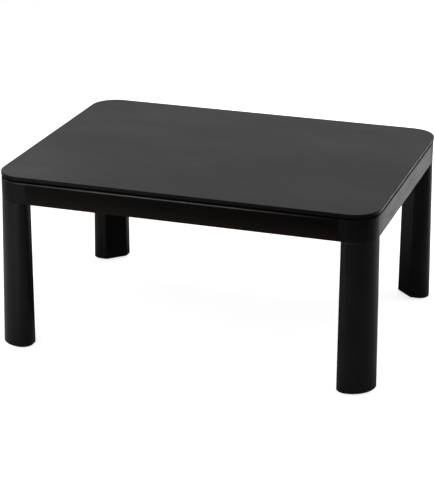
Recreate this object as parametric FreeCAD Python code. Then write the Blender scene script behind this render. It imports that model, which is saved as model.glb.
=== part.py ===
"""Low heated table: a loose top on a railed frame, four bolted legs and a heater under the middle.

X runs along the length, Y from front to back, Z up. The origin is on the floor, under the table's centre.
A corner piece is first drawn in its own corner: u along X and v along Y, both inwards from the sharp
corner of the frame. It is then set at the front left and mirrored to the other corners.
"""

import FreeCAD, Part
import math
import os

Vector = FreeCAD.Vector
ROOT_TWO = math.sqrt(2.0)

# Table top
TOP_LENGTH = 800.0
TOP_WIDTH = 600.0
TOP_CORNER_RADIUS = 57.0
CORE_THICKNESS = 8.0
SHEET_THICKNESS = 0.5
BAND_THICKNESS = 2.0
BAND_ROUNDING = 1.4

# Frame of rails and corner blocks
FRAME_INSET = 1.5
RAIL_HEIGHT = 47.5
RAIL_THICKNESS = 18.0
RAIL_SHOULDER = 4.5
RAIL_ROUNDING = 1.2
BLOCK_WALL = 3.0
BLOCK_TOP = 3.0
BLOCK_MARGIN = 2.0
BLOCK_RIB = 2.4
ARM_LENGTH = 60.0
ARM_THICKNESS = 5.0
ARM_HEIGHT = 34.0
ARM_ROUNDING = 6.0

# Rubber pads between frame and top
PAD_RADIUS = 7.0
PAD_THICKNESS = 2.5
PAD_PROUD = 1.5
PAD_INSET = 11.0
PAD_SIDE = 12.0

# Legs
LEG_LENGTH = 317.5
LEG_NOSE_RADIUS = 16.6
LEG_HEEL_RADIUS = 9.0
LEG_SIDE_FLAT = 11.0
LEG_SIDE_FLAT_FOOT = 11.6
LEG_SPLAY = 5.7
LEG_WALL = 3.0
LEG_TOP = 4.0
LEG_EDGE = 0.8
LEG_SHOULDER = 3.0
LEG_RIB = 2.4
LEG_RIB_DEPTH = 30.0
BOSS_RADIUS = 13.0
BOSS_DEPTH = 34.0
PEG_RADIUS = 4.0
PEG_HEIGHT = 6.0
PEG_SPREAD = 26.0
PEG_SOCKET_WALL = 2.5

# Feet
GLIDE_PROUD = 4.5
GLIDE_RADIUS = 15.0
GLIDE_ROUNDING = 1.2
STEM_RADIUS = 4.0
STEM_LENGTH = 10.0
CAP_THICKNESS = 3.0
CAP_RIM_HEIGHT = 14.0
CAP_RIM_WALL = 2.0
CAP_BOSS_WALL = 3.0
CAP_FIT = 0.15

# Leg bolts
BOLT_RADIUS = 4.0
BOLT_LENGTH = 45.0
BOLT_HEAD_RADIUS = 7.5
BOLT_HEAD_HEIGHT = 5.3
BOLT_SEAT_HEIGHT = 12.0
TOWER_RADIUS = 17.0
COUNTERBORE_RADIUS = 13.0
WASHER_RADIUS = 11.0
WASHER_THICKNESS = 2.0
INSERT_RADIUS = 6.0
INSERT_LENGTH = 20.0
TIP_ROOM = 2.0

# Wood screws of the frame
SCREW_RADIUS = 2.0
SCREW_LENGTH = 16.0
SCREW_HEAD_RADIUS = 4.0
SCREW_HEAD_HEIGHT = 2.4
RECESS_WIDTH = 0.9
RECESS_DEPTH = 1.4

# Crossbars and their angle brackets
BAR_WIDTH = 22.0
BAR_HEIGHT = 30.0
BAR_DROP = 2.0
BRACKET_LEG = 26.0
BRACKET_HEIGHT = 24.0
BRACKET_THICKNESS = 2.0
BRACKET_HOLE_INSET = 8.0

# Heater pan, mat and reflector
PAN_LENGTH = 276.0
PAN_WIDTH = 196.0
PAN_DEPTH = 28.0
PAN_SHEET = 1.0
PAN_CORNER_RADIUS = 12.0
PAN_BAR_GAP = 6.0
PAN_FLANGE_REACH = 26.0
PAN_FLANGE_SIDE = 14.0
MAT_THICKNESS = 4.0
MAT_GAP = 0.5
REFLECTOR_SHEET = 0.8
REFLECTOR_LIP = 6.0
REFLECTOR_CROWN = 14.0
REFLECTOR_RIDGE = 3.0
REFLECTOR_RIDGE_DEPTH = 16.0

# Quartz tubes and what holds them
TUBE_RADIUS = 5.0
TUBE_WALL = 1.0
TUBE_OFFSET = 46.0
TUBE_DROP = 8.0
TUBE_ENTRY = 8.0
COIL_RADIUS = 2.6
COIL_PIN_RADIUS = 1.0
COIL_PIN_PROUD = 3.0
HOLDER_OFFSET = 107.0
HOLDER_SHEET = 1.0
HOLDER_WIDTH = 150.0
HOLDER_BELOW_TUBE = 10.0
HOLDER_FOOT = 8.0
CERAMIC_RADIUS = 9.0
CERAMIC_LENGTH = 9.0
CERAMIC_NECK_RADIUS = 6.5
CERAMIC_NECK_LENGTH = 12.0
CERAMIC_END = 5.0

# Wiring in the right end of the pan
TERMINAL_LENGTH = 30.0
TERMINAL_WIDTH = 14.0
TERMINAL_HEIGHT = 12.0
TERMINAL_OFFSET = 55.0
TERMINAL_PORT_RADIUS = 1.6
TERMINAL_PORT_DEPTH = 5.0
THERMOSTAT_RADIUS = 8.5
THERMOSTAT_HEIGHT = 8.0
THERMOSTAT_RIM = 1.6
BLADE_LENGTH = 5.0
BLADE_WIDTH = 5.0
BLADE_THICKNESS = 0.8
BLADE_OFFSET = 5.0
FUSE_RADIUS = 2.2
FUSE_LENGTH = 14.0
FUSE_OFFSET = -30.0
LEAD_RADIUS = 1.1
LEAD_BEND = 4.0

# Power inlet at the back of the heater
INLET_OFFSET = 118.0
INLET_WIDTH = 40.0
INLET_DEPTH = 34.0
INLET_HEIGHT = 28.0
INLET_WALL = 4.0
INLET_ROUNDING = 2.5
INLET_CAVITY_DEPTH = 22.0
INLET_TAB_MARGIN = 2.0
INLET_PIN_RADIUS = 2.0
INLET_PIN_LENGTH = 17.0
INLET_PIN_TAIL = 8.0
INLET_PIN_OFFSET = 6.0

# Guard under the tubes
GUARD_DEPTH = 41.0
GUARD_SHEET = 1.0
GUARD_GAP = 2.0
GUARD_DRAFT = 8.0
GUARD_CORNER_RADIUS = 16.0
GUARD_RIM = 7.0
BEZEL_THICKNESS = 1.2
BEZEL_WIDTH = 9.0
SLOT_LENGTH = 28.0
SLOT_WIDTH = 7.0
SLOT_WEB = 4.0
SMALL_SCREW_RADIUS = 1.5
SMALL_SCREW_LENGTH = 8.0
SMALL_SCREW_HEAD_RADIUS = 3.2
SMALL_SCREW_HEAD_HEIGHT = 1.8

# Fits: radial play of a screw in its pilot hole, of a shank in a clearance hole and of a pressed piece
PILOT_PLAY = 0.05
SHANK_PLAY = 0.3
SEAT_PLAY = 0.1
OVERRUN = 1.0

# Levels over the floor
LEG_FOOT_Z = GLIDE_PROUD
FRAME_BOTTOM_Z = LEG_FOOT_Z + LEG_LENGTH
FRAME_TOP_Z = FRAME_BOTTOM_Z + RAIL_HEIGHT
TOP_BOTTOM_Z = FRAME_TOP_Z + PAD_PROUD
TOP_TOP_Z = TOP_BOTTOM_Z + CORE_THICKNESS + 2.0 * SHEET_THICKNESS
BAR_TOP_Z = FRAME_TOP_Z - BAR_DROP
BAR_BOTTOM_Z = BAR_TOP_Z - BAR_HEIGHT
FLANGE_Z = BAR_BOTTOM_Z - PAN_SHEET
PAN_TOP_Z = BAR_BOTTOM_Z + PAN_DEPTH
PAN_CEILING_Z = PAN_TOP_Z - PAN_SHEET
TUBE_Z = BAR_BOTTOM_Z - TUBE_DROP
GUARD_BOTTOM_Z = FLANGE_Z - GUARD_DEPTH

# Half sizes and radii that follow from them
HALF_LENGTH = TOP_LENGTH / 2.0 - FRAME_INSET
HALF_WIDTH = TOP_WIDTH / 2.0 - FRAME_INSET
# This radius brings the frame's corner flush under the corner of the top, measured on the diagonal.
CORNER_RADIUS = TOP_CORNER_RADIUS - FRAME_INSET * ROOT_TWO / (ROOT_TWO - 1.0)
LEG_REACH = CORNER_RADIUS + LEG_NOSE_RADIUS
BLOCK_REACH = LEG_REACH + BLOCK_MARGIN
BAR_OFFSET = PAN_LENGTH / 2.0 + PAN_BAR_GAP + BAR_WIDTH / 2.0
RAIL_INNER_Y = HALF_WIDTH - RAIL_THICKNESS
CHAMBER_OFFSET = (HOLDER_OFFSET + HOLDER_SHEET + PAN_LENGTH / 2.0 - PAN_SHEET) / 2.0
TUBE_HALF = HOLDER_OFFSET + HOLDER_SHEET + CERAMIC_NECK_LENGTH - CERAMIC_END
INLET_FRONT_Y = PAN_WIDTH / 2.0 + PAN_FLANGE_SIDE
INLET_PIN_Z = FLANGE_Z - INLET_HEIGHT / 2.0
ARM_SCREW_SHARES = (0.3, 0.75)
SIDES = (-1.0, 1.0)
CORNERS = {"front_left": (-1.0, -1.0), "front_right": (1.0, -1.0),
           "back_left": (-1.0, 1.0), "back_right": (1.0, 1.0)}


# Shared shapes

def block(x_span, y_span, z_span):
    """Box between two values on each axis."""
    corner = Vector(min(x_span), min(y_span), min(z_span))
    size = Vector(max(x_span), max(y_span), max(z_span)).sub(corner)
    return Part.makeBox(size.x, size.y, size.z, corner)


def rod(radius, start, end):
    """Cylinder of a radius between two points."""
    axis = end.sub(start)
    return Part.makeCylinder(radius, axis.Length, start, axis)


def upright(radius, place, z_span):
    """Upright cylinder at a place in plan, between two heights."""
    return rod(radius, Vector(place[0], place[1], z_span[0]), Vector(place[0], place[1], z_span[1]))


def ring(outer, inner, start, end):
    """Tube between two points, its bore cut right through."""
    return rod(outer, start, end).cut(rod(inner, start, end))


def arc(center, radius, start, stop, z):
    """Edge of a circle about (u, v), between two angles in degrees."""
    def at(angle):
        turn = math.radians(angle)
        return Vector(center[0] + radius * math.cos(turn), center[1] + radius * math.sin(turn), z)
    return Part.Arc(at(start), at((start + stop) / 2.0), at(stop)).toShape()


def joined(edges):
    """Closed wire through edges in order, with straight lines wherever two neighbours do not meet."""
    closed = []
    for edge, following in zip(edges, edges[1:] + edges[:1]):
        closed.append(edge)
        gap_start = edge.lastVertex(True).Point
        gap_end = following.firstVertex(True).Point
        if gap_start.distanceToPoint(gap_end) > 1e-7 * TOP_LENGTH:
            closed.append(Part.makeLine(gap_start, gap_end))
    return Part.Wire(closed)


def rounded_outline(half_x, half_y, radius, z):
    """Rectangle with round corners, centred on the Z axis."""
    turns = ((1.0, 1.0, 0.0), (-1.0, 1.0, 90.0), (-1.0, -1.0, 180.0), (1.0, -1.0, 270.0))
    return joined([arc((x * (half_x - radius), y * (half_y - radius)), radius, start, start + 90.0, z)
                   for x, y, start in turns])


def rounded_plate(half_x, half_y, radius, z_span):
    """Upright prism over a rectangle with round corners."""
    face = Part.Face(rounded_outline(half_x, half_y, radius, min(z_span)))
    return face.extrude(Vector(0, 0, max(z_span) - min(z_span)))


def rounded_along(shape, radius, wanted):
    """The shape with a fillet on each edge for which wanted(edge) is true."""
    return shape.makeFillet(radius, [edge for edge in shape.Edges if wanted(edge)])


def is_level(edge):
    """True for an edge that lies at one height."""
    return edge.BoundBox.ZLength < 1e-6 * TOP_LENGTH


def shouldered(shape, is_outer):
    """Piece of the frame with its outer edges rounded, the upper ones to a broad shoulder."""
    middle_z = (FRAME_BOTTOM_Z + FRAME_TOP_Z) / 2.0
    shape = rounded_along(shape, RAIL_SHOULDER, lambda edge: is_outer(edge) and edge.BoundBox.ZMin > middle_z)
    return rounded_along(shape, RAIL_ROUNDING, lambda edge: is_outer(edge) and edge.BoundBox.ZMax < middle_z)


def turned(shape, axis, angle):
    """Copy of a shape, turned about an axis through the origin."""
    copy = shape.copy()
    copy.rotate(Vector(0, 0, 0), axis, angle)
    return copy


def moved(shape, offset):
    """Copy of a shape, moved by a vector."""
    copy = shape.copy()
    copy.translate(offset)
    return copy


def mirrored(shape, side_x, side_y):
    """Copy of a shape that stands at the front left, mirrored to the sides given by two signs."""
    copy = shape
    if side_x > 0:
        copy = copy.mirror(Vector(0, 0, 0), Vector(1, 0, 0))
    if side_y > 0:
        copy = copy.mirror(Vector(0, 0, 0), Vector(0, 1, 0))
    return copy


def at_corner(shape, side_x, side_y):
    """Corner piece set from its own u and v to one corner of the frame."""
    return mirrored(moved(shape, Vector(-HALF_LENGTH, -HALF_WIDTH, 0)), side_x, side_y)


def swapped(shape):
    """Corner piece mirrored on the corner's diagonal, so that u and v change places."""
    return shape.mirror(Vector(0, 0, 0), Vector(1, -1, 0))


def screw(radius, length, head_radius, head_height, seat, heading):
    """Pan head screw with a cross recess: the head's flat lies at seat, the shank runs along heading."""
    down = Vector(0, 0, -1)
    taper = 1.5 * radius
    shank = rod(radius, Vector(0, 0, 0), Vector(0, 0, taper - length))
    tip = Part.makeCone(radius, radius / 4.0, taper, Vector(0, 0, taper - length), down)
    head = rod(head_radius, Vector(0, 0, 0), Vector(0, 0, head_height))
    head = rounded_along(head, head_height / 2.0, lambda edge: edge.BoundBox.ZMin > head_height / 2.0)
    solid = head.fuse([shank, tip])
    wing = head_radius / 2.0
    slot_z = (head_height - min(RECESS_DEPTH, head_height / 2.0), head_height + OVERRUN)
    half = RECESS_WIDTH / 2.0
    cross = block((-wing, wing), (-half, half), slot_z).fuse(block((-half, half), (-wing, wing), slot_z))
    solid = solid.cut(cross)
    solid.Placement = FreeCAD.Placement(seat, FreeCAD.Rotation(down, heading))
    return solid


def pilot(radius, length, seat, heading, play):
    """Hole for a screw's shank, as deep as the screw is long and starting a little before its seat."""
    return rod(radius + play, seat.sub(heading * OVERRUN), seat.add(heading * (length + OVERRUN)))


def wood_screw(seat, heading):
    """Wood screw of the frame."""
    return screw(SCREW_RADIUS, SCREW_LENGTH, SCREW_HEAD_RADIUS, SCREW_HEAD_HEIGHT, seat, heading)


def small_screw(seat, heading):
    """Sheet metal screw of the heater."""
    return screw(SMALL_SCREW_RADIUS, SMALL_SCREW_LENGTH, SMALL_SCREW_HEAD_RADIUS,
                 SMALL_SCREW_HEAD_HEIGHT, seat, heading)


# Table top

def top_plate(inset, z_span):
    """Slab of the top's outline, drawn inset from its edge."""
    return rounded_plate(TOP_LENGTH / 2.0 - inset, TOP_WIDTH / 2.0 - inset, TOP_CORNER_RADIUS - inset, z_span)


def make_top():
    """Board core, the band around its edge and the sheets on its two faces."""
    core_span = (TOP_BOTTOM_Z + SHEET_THICKNESS, TOP_TOP_Z - SHEET_THICKNESS)
    whole = top_plate(0, (TOP_BOTTOM_Z, TOP_TOP_Z))
    whole = rounded_along(whole, min(BAND_ROUNDING, 0.9 * BAND_THICKNESS), is_level)
    bore = top_plate(BAND_THICKNESS, (TOP_BOTTOM_Z - OVERRUN, TOP_TOP_Z + OVERRUN))
    return {"top_board": top_plate(BAND_THICKNESS, core_span),
            "top_edge_band": whole.cut(bore),
            "top_face_sheet": top_plate(BAND_THICKNESS, (core_span[1], TOP_TOP_Z)),
            "underside_sheet": top_plate(BAND_THICKNESS, (TOP_BOTTOM_Z, core_span[0]))}


# Legs and feet

def leg_measures(height):
    """Splay, nose radius and side flat of the leg at a height over its foot."""
    fall_share = 1.0 - height / LEG_LENGTH
    splay = LEG_SPLAY * fall_share
    side_flat = LEG_SIDE_FLAT + (LEG_SIDE_FLAT_FOOT - LEG_SIDE_FLAT) * fall_share
    return splay, LEG_NOSE_RADIUS + splay, side_flat


def flat_sum(height):
    """u + v on the leg's inner flat at a height, measured from the corner of its own outline."""
    splay, nose, side_flat = leg_measures(height)
    return nose + side_flat + CORNER_RADIUS + nose - LEG_HEEL_RADIUS + ROOT_TWO * LEG_HEEL_RADIUS


def leg_middle(height):
    """u, and also v, of the point half way through the leg on the corner's diagonal."""
    outer = CORNER_RADIUS * (1.0 - 1.0 / ROOT_TWO)
    return (outer + flat_sum(height) / 2.0) / 2.0 - leg_measures(height)[0]


def leg_outline(height, inset):
    """Section of the leg: round outer corner, two round noses, two round heels and the inner flat."""
    splay, nose, side_flat = leg_measures(height)
    corner = CORNER_RADIUS - splay
    heel_u = corner + nose - LEG_HEEL_RADIUS
    heel_v = nose + side_flat - splay
    nose_v = nose - splay
    z = LEG_FOOT_Z + height
    heel = LEG_HEEL_RADIUS - inset
    return joined([arc((corner, corner), CORNER_RADIUS - inset, 180.0, 270.0, z),
                   arc((corner, nose_v), nose - inset, 270.0, 360.0, z),
                   arc((heel_u, heel_v), heel, 0.0, 45.0, z),
                   arc((heel_v, heel_u), heel, 45.0, 90.0, z),
                   arc((nose_v, corner), nose - inset, 90.0, 180.0, z)])


def leg_body(levels):
    """Solid through the leg's sections, given as pairs of height and inset."""
    return Part.makeLoft([leg_outline(height, inset) for height, inset in levels], True, True)


def rib_cross(middle, thickness, z_span, hollow):
    """Four upright ribs about the corner's diagonal, trimmed to a hollow."""
    reach = 2.0 * BLOCK_REACH
    rib = block((-reach, reach), (-thickness / 2.0, thickness / 2.0), z_span)
    ribs = [moved(turned(rib, Vector(0, 0, 1), angle), Vector(middle, middle, 0)) for angle in (45.0, 135.0)]
    return ribs[0].fuse(ribs[1]).common(hollow)


def peg_places():
    """Places of the two pegs that keep a leg from turning under its corner block."""
    middle = leg_middle(LEG_LENGTH)
    step = PEG_SPREAD / ROOT_TWO
    return ((middle + step, middle - step), (middle - step, middle + step))


def make_leg():
    """Hollow moulded leg: shell, top plate with pegs, and a ribbed boss for the threaded insert."""
    hollow = leg_body([(-OVERRUN, LEG_WALL), (LEG_LENGTH - LEG_TOP, LEG_WALL)])
    outer = leg_body([(0, LEG_EDGE), (LEG_EDGE, 0), (LEG_LENGTH - LEG_SHOULDER, 0), (LEG_LENGTH, LEG_EDGE)])
    middle = leg_middle(LEG_LENGTH)
    plate_z = FRAME_BOTTOM_Z - LEG_TOP
    boss_z = FRAME_BOTTOM_Z - BOSS_DEPTH
    boss = upright(BOSS_RADIUS, (middle, middle), (boss_z, plate_z + LEG_TOP / 2.0))
    ribs = rib_cross(middle, LEG_RIB, (plate_z - LEG_RIB_DEPTH, plate_z), hollow)
    peg_span = (FRAME_BOTTOM_Z - LEG_TOP / 2.0, FRAME_BOTTOM_Z + PEG_HEIGHT)
    pegs = [upright(PEG_RADIUS, place, peg_span) for place in peg_places()]
    solid = outer.cut(hollow).fuse([boss, ribs] + pegs)
    tip_z = FRAME_BOTTOM_Z + BOLT_SEAT_HEIGHT + WASHER_THICKNESS - BOLT_LENGTH - TIP_ROOM
    over_z = FRAME_BOTTOM_Z + OVERRUN
    insert_z = FRAME_BOTTOM_Z - INSERT_LENGTH
    insert_hole = upright(INSERT_RADIUS + PILOT_PLAY, (middle, middle), (insert_z, over_z))
    bolt_hole = upright(BOLT_RADIUS + SHANK_PLAY, (middle, middle), (tip_z, over_z))
    return solid.cut([insert_hole, bolt_hole])


def make_foot_cap():
    """Cap that closes the leg's lower end: plate, rim inside the leg and a boss for the glide's stem."""
    inset = LEG_WALL + CAP_FIT
    plate = leg_body([(0, inset), (CAP_THICKNESS, inset)])
    rim_outer = leg_body([(0, inset), (CAP_RIM_HEIGHT, inset)])
    bore_inset = inset + CAP_RIM_WALL
    rim_bore = leg_body([(-OVERRUN, bore_inset), (CAP_RIM_HEIGHT + OVERRUN, bore_inset)])
    place = (leg_middle(0), leg_middle(0))
    boss_span = (LEG_FOOT_Z, LEG_FOOT_Z + STEM_LENGTH + CAP_THICKNESS)
    boss = upright(STEM_RADIUS + CAP_BOSS_WALL, place, boss_span)
    hole = upright(STEM_RADIUS + PILOT_PLAY, place, (LEG_FOOT_Z - OVERRUN, LEG_FOOT_Z + STEM_LENGTH))
    return plate.fuse([rim_outer.cut(rim_bore), boss]).cut(hole)


def make_glide():
    """Round glide under the foot, with its stem."""
    place = (leg_middle(0), leg_middle(0))
    pad = upright(GLIDE_RADIUS, place, (0, GLIDE_PROUD))
    pad = rounded_along(pad, GLIDE_ROUNDING, lambda edge: edge.BoundBox.ZMax < GLIDE_PROUD / 2.0)
    stem = upright(STEM_RADIUS, place, (GLIDE_PROUD / 2.0, GLIDE_PROUD + STEM_LENGTH - PILOT_PLAY))
    return pad.fuse(stem)


# Corner blocks and what bolts the legs to them

def block_outline(inset, z):
    """Section of the corner block: round outer corner, two ends at the rails and the inner flat."""
    reach = BLOCK_REACH - inset
    across = flat_sum(LEG_LENGTH) - ROOT_TWO * inset - reach
    near = CORNER_RADIUS
    points = [(near, inset), (reach, inset), (reach, across), (across, reach), (inset, reach), (inset, near)]
    edges = [arc((near, near), near - inset, 180.0, 270.0, z)]
    for start, end in zip(points, points[1:]):
        edges.append(Part.makeLine(Vector(start[0], start[1], z), Vector(end[0], end[1], z)))
    return Part.Wire(edges)


def block_prism(inset, z_span):
    """Upright prism over the corner block's section."""
    face = Part.Face(block_outline(inset, min(z_span)))
    return face.extrude(Vector(0, 0, max(z_span) - min(z_span)))


def is_outer_rim(edge):
    """True for a level edge on the outer side of a corner block."""
    box = edge.BoundBox
    slack = 1e-6 * TOP_LENGTH
    return is_level(edge) and (box.XMax < slack or box.YMax < slack or box.DiagonalLength > CORNER_RADIUS
                               and max(box.XMax, box.YMax) < CORNER_RADIUS + slack)


def pad_places():
    """Places of a corner block's two rubber pads."""
    along = BLOCK_REACH - PAD_INSET
    return ((along, PAD_SIDE), (PAD_SIDE, along))


def arm_screw_seats():
    """Seats of the screws on the arm behind the front or back rail."""
    middle_z = (FRAME_BOTTOM_Z + FRAME_TOP_Z) / 2.0
    return [Vector(BLOCK_REACH + share * ARM_LENGTH, RAIL_THICKNESS + ARM_THICKNESS, middle_z)
            for share in ARM_SCREW_SHARES]


def make_arm():
    """Arm behind a rail, with clearance holes for its screws."""
    middle_z = (FRAME_BOTTOM_Z + FRAME_TOP_Z) / 2.0
    z_span = (middle_z - ARM_HEIGHT / 2.0, middle_z + ARM_HEIGHT / 2.0)
    end = BLOCK_REACH + ARM_LENGTH
    arm = block((BLOCK_REACH - BLOCK_WALL, end), (RAIL_THICKNESS, RAIL_THICKNESS + ARM_THICKNESS), z_span)
    arm = rounded_along(arm, ARM_ROUNDING, lambda edge: edge.BoundBox.XMin > BLOCK_REACH
                        and edge.BoundBox.YLength > ARM_THICKNESS / 2.0 and is_level(edge))
    holes = [pilot(SCREW_RADIUS, ARM_THICKNESS, seat, Vector(0, -1, 0), SHANK_PLAY)
             for seat in arm_screw_seats()]
    return arm.cut(holes)


def make_corner_block():
    """Moulded corner block: shell, bolt tower with counterbore, peg sockets, ribs and two arms."""
    shell_span = (FRAME_BOTTOM_Z, FRAME_TOP_Z)
    hollow = block_prism(BLOCK_WALL, (FRAME_BOTTOM_Z - OVERRUN, FRAME_TOP_Z - BLOCK_TOP))
    room = block_prism(BLOCK_WALL, (FRAME_BOTTOM_Z, FRAME_TOP_Z - BLOCK_TOP))
    outer = shouldered(block_prism(0, shell_span), is_outer_rim)
    middle = leg_middle(LEG_LENGTH)
    bolt_place = (middle, middle)
    inside = block_prism(BLOCK_WALL / 2.0, shell_span)
    post_span = (FRAME_BOTTOM_Z, FRAME_TOP_Z - BLOCK_TOP / 2.0)
    posts = [upright(TOWER_RADIUS, bolt_place, post_span)]
    posts += [upright(PEG_RADIUS + PEG_SOCKET_WALL, place, post_span) for place in peg_places()]
    posts = [post.common(inside) for post in posts]
    ribs = rib_cross(middle, BLOCK_RIB, (FRAME_BOTTOM_Z + PEG_HEIGHT, FRAME_TOP_Z - BLOCK_TOP), room)
    arm = make_arm()
    solid = outer.cut(hollow).fuse([ribs, arm, swapped(arm)] + posts)
    seat_z = FRAME_BOTTOM_Z + BOLT_SEAT_HEIGHT
    below_z = FRAME_BOTTOM_Z - OVERRUN
    above_z = FRAME_TOP_Z + OVERRUN
    peg_hole_span = (below_z, FRAME_BOTTOM_Z + PEG_HEIGHT + SEAT_PLAY)
    pad_hole_span = (TOP_BOTTOM_Z - PAD_THICKNESS, above_z)
    holes = [upright(COUNTERBORE_RADIUS, bolt_place, (seat_z, above_z)),
             upright(BOLT_RADIUS + SHANK_PLAY, bolt_place, (below_z, seat_z + OVERRUN))]
    holes += [upright(PEG_RADIUS + SEAT_PLAY, place, peg_hole_span) for place in peg_places()]
    holes += [upright(PAD_RADIUS + SEAT_PLAY, place, pad_hole_span) for place in pad_places()]
    return solid.cut(holes)


def make_pads():
    """Rubber pads of one corner block, sunk in its top plate and carrying the loose top."""
    pad_span = (TOP_BOTTOM_Z - PAD_THICKNESS, TOP_BOTTOM_Z)
    return [upright(PAD_RADIUS, place, pad_span) for place in pad_places()]


def make_bolt():
    """Leg bolt with a six-sided head."""
    middle = leg_middle(LEG_LENGTH)
    seat = Vector(middle, middle, FRAME_BOTTOM_Z + BOLT_SEAT_HEIGHT + WASHER_THICKNESS)
    spoke = Vector(BOLT_HEAD_RADIUS, 0, 0)
    turns = [FreeCAD.Rotation(Vector(0, 0, 1), angle) for angle in range(0, 361, 60)]
    corners = [seat.add(turn.multVec(spoke)) for turn in turns]
    head = Part.Face(Part.makePolygon(corners)).extrude(Vector(0, 0, BOLT_HEAD_HEIGHT))
    shank_span = (seat.z - BOLT_LENGTH, seat.z + BOLT_HEAD_HEIGHT / 2.0)
    return head.fuse(upright(BOLT_RADIUS, (middle, middle), shank_span))


def make_washer():
    """Washer under the head of a leg bolt."""
    middle = leg_middle(LEG_LENGTH)
    seat = Vector(middle, middle, FRAME_BOTTOM_Z + BOLT_SEAT_HEIGHT)
    return ring(WASHER_RADIUS, BOLT_RADIUS + SHANK_PLAY, seat, seat.add(Vector(0, 0, WASHER_THICKNESS)))


def make_insert():
    """Threaded insert in the leg's boss, drawn with its thread as a plain bore."""
    middle = leg_middle(LEG_LENGTH)
    top = Vector(middle, middle, FRAME_BOTTOM_Z)
    return ring(INSERT_RADIUS, BOLT_RADIUS + PILOT_PLAY, top.sub(Vector(0, 0, INSERT_LENGTH)), top)


def make_corner_screws():
    """Four wood screws that hold the rails to one corner block."""
    along_front = [wood_screw(seat, Vector(0, -1, 0)) for seat in arm_screw_seats()]
    return along_front + [swapped(item) for item in along_front]


def make_corners():
    """Everything that stands at the four corners."""
    single = {"corner_block": make_corner_block(), "leg": make_leg(), "foot_cap": make_foot_cap(),
              "glide": make_glide()}
    grouped = {"anti_slip_pads": make_pads(), "leg_bolts": [make_bolt()], "leg_bolt_washers": [make_washer()],
               "leg_inserts": [make_insert()], "rail_screws": make_corner_screws()}
    nodes = {}
    for corner, (side_x, side_y) in CORNERS.items():
        for name, solid in single.items():
            nodes[name + "_" + corner] = at_corner(solid, side_x, side_y)
        for name, solids in grouped.items():
            nodes.setdefault(name, []).extend(at_corner(solid, side_x, side_y) for solid in solids)
    return nodes


# Rails, crossbars and brackets

def bracket_screw_seats():
    """Seats and headings of the front left bracket's screws: two into the rail, two into the bar."""
    middle_z = (BAR_TOP_Z + BAR_BOTTOM_Z) / 2.0
    hole_x = -BAR_OFFSET - BAR_WIDTH / 2.0 - BRACKET_LEG + BRACKET_HOLE_INSET
    hole_y = -RAIL_INNER_Y + BRACKET_LEG - BRACKET_HOLE_INSET
    face_x = -BAR_OFFSET - BAR_WIDTH / 2.0 - BRACKET_THICKNESS
    face_y = -RAIL_INNER_Y + BRACKET_THICKNESS
    seats = []
    for side in SIDES:
        z = middle_z + side * BRACKET_HEIGHT / 4.0
        seats.append((Vector(hole_x, face_y, z), Vector(0, -1, 0)))
        seats.append((Vector(face_x, hole_y, z), Vector(1, 0, 0)))
    return seats


def heater_screw_seats():
    """Seats of the four screws that hang the heater from the crossbars."""
    return [Vector(side_x * BAR_OFFSET, side_y * PAN_WIDTH / 3.0, FLANGE_Z)
            for side_x in SIDES for side_y in SIDES]


def frame_pilots():
    """Pilot holes in rails and crossbars for every screw of the frame and the heater."""
    arm_holes = [pilot(SCREW_RADIUS, SCREW_LENGTH, seat, Vector(0, -1, 0), PILOT_PLAY)
                 for seat in arm_screw_seats()]
    arm_holes += [swapped(hole) for hole in arm_holes]
    angle_holes = [pilot(SCREW_RADIUS, SCREW_LENGTH, seat, heading, PILOT_PLAY)
                   for seat, heading in bracket_screw_seats()]
    holes = []
    for side_x, side_y in CORNERS.values():
        holes += [at_corner(hole, side_x, side_y) for hole in arm_holes]
        holes += [mirrored(hole, side_x, side_y) for hole in angle_holes]
    return holes + [pilot(SCREW_RADIUS, SCREW_LENGTH, seat, Vector(0, 0, 1), PILOT_PLAY)
                    for seat in heater_screw_seats()]


def make_rail(x_span, y_span, is_outer):
    """Rail with its two outer long edges rounded."""
    return shouldered(block(x_span, y_span, (FRAME_BOTTOM_Z, FRAME_TOP_Z)), is_outer)


def make_rails():
    """The four rails, drilled for their screws."""
    slack = 1e-6 * TOP_LENGTH
    half_x = HALF_LENGTH - BLOCK_REACH
    half_y = HALF_WIDTH - BLOCK_REACH
    inner_x = HALF_LENGTH - RAIL_THICKNESS
    front = make_rail((-half_x, half_x), (-HALF_WIDTH, -RAIL_INNER_Y),
                      lambda edge: edge.BoundBox.YMax < slack - HALF_WIDTH and is_level(edge))
    left = make_rail((-HALF_LENGTH, -inner_x), (-half_y, half_y),
                     lambda edge: edge.BoundBox.XMax < slack - HALF_LENGTH and is_level(edge))
    holes = frame_pilots()
    return {"front_rail": front.cut(holes), "back_rail": mirrored(front, -1.0, 1.0).cut(holes),
            "left_rail": left.cut(holes), "right_rail": mirrored(left, 1.0, -1.0).cut(holes)}


def make_crossbars():
    """Two bars from the front rail to the back rail, drilled for brackets and heater."""
    holes = frame_pilots()
    bars = {}
    for name, side in (("left_crossbar", -1.0), ("right_crossbar", 1.0)):
        x_span = (side * BAR_OFFSET - BAR_WIDTH / 2.0, side * BAR_OFFSET + BAR_WIDTH / 2.0)
        bar = block(x_span, (-RAIL_INNER_Y, RAIL_INNER_Y), (BAR_BOTTOM_Z, BAR_TOP_Z))
        bars[name] = bar.cut(holes)
    return bars


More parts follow.
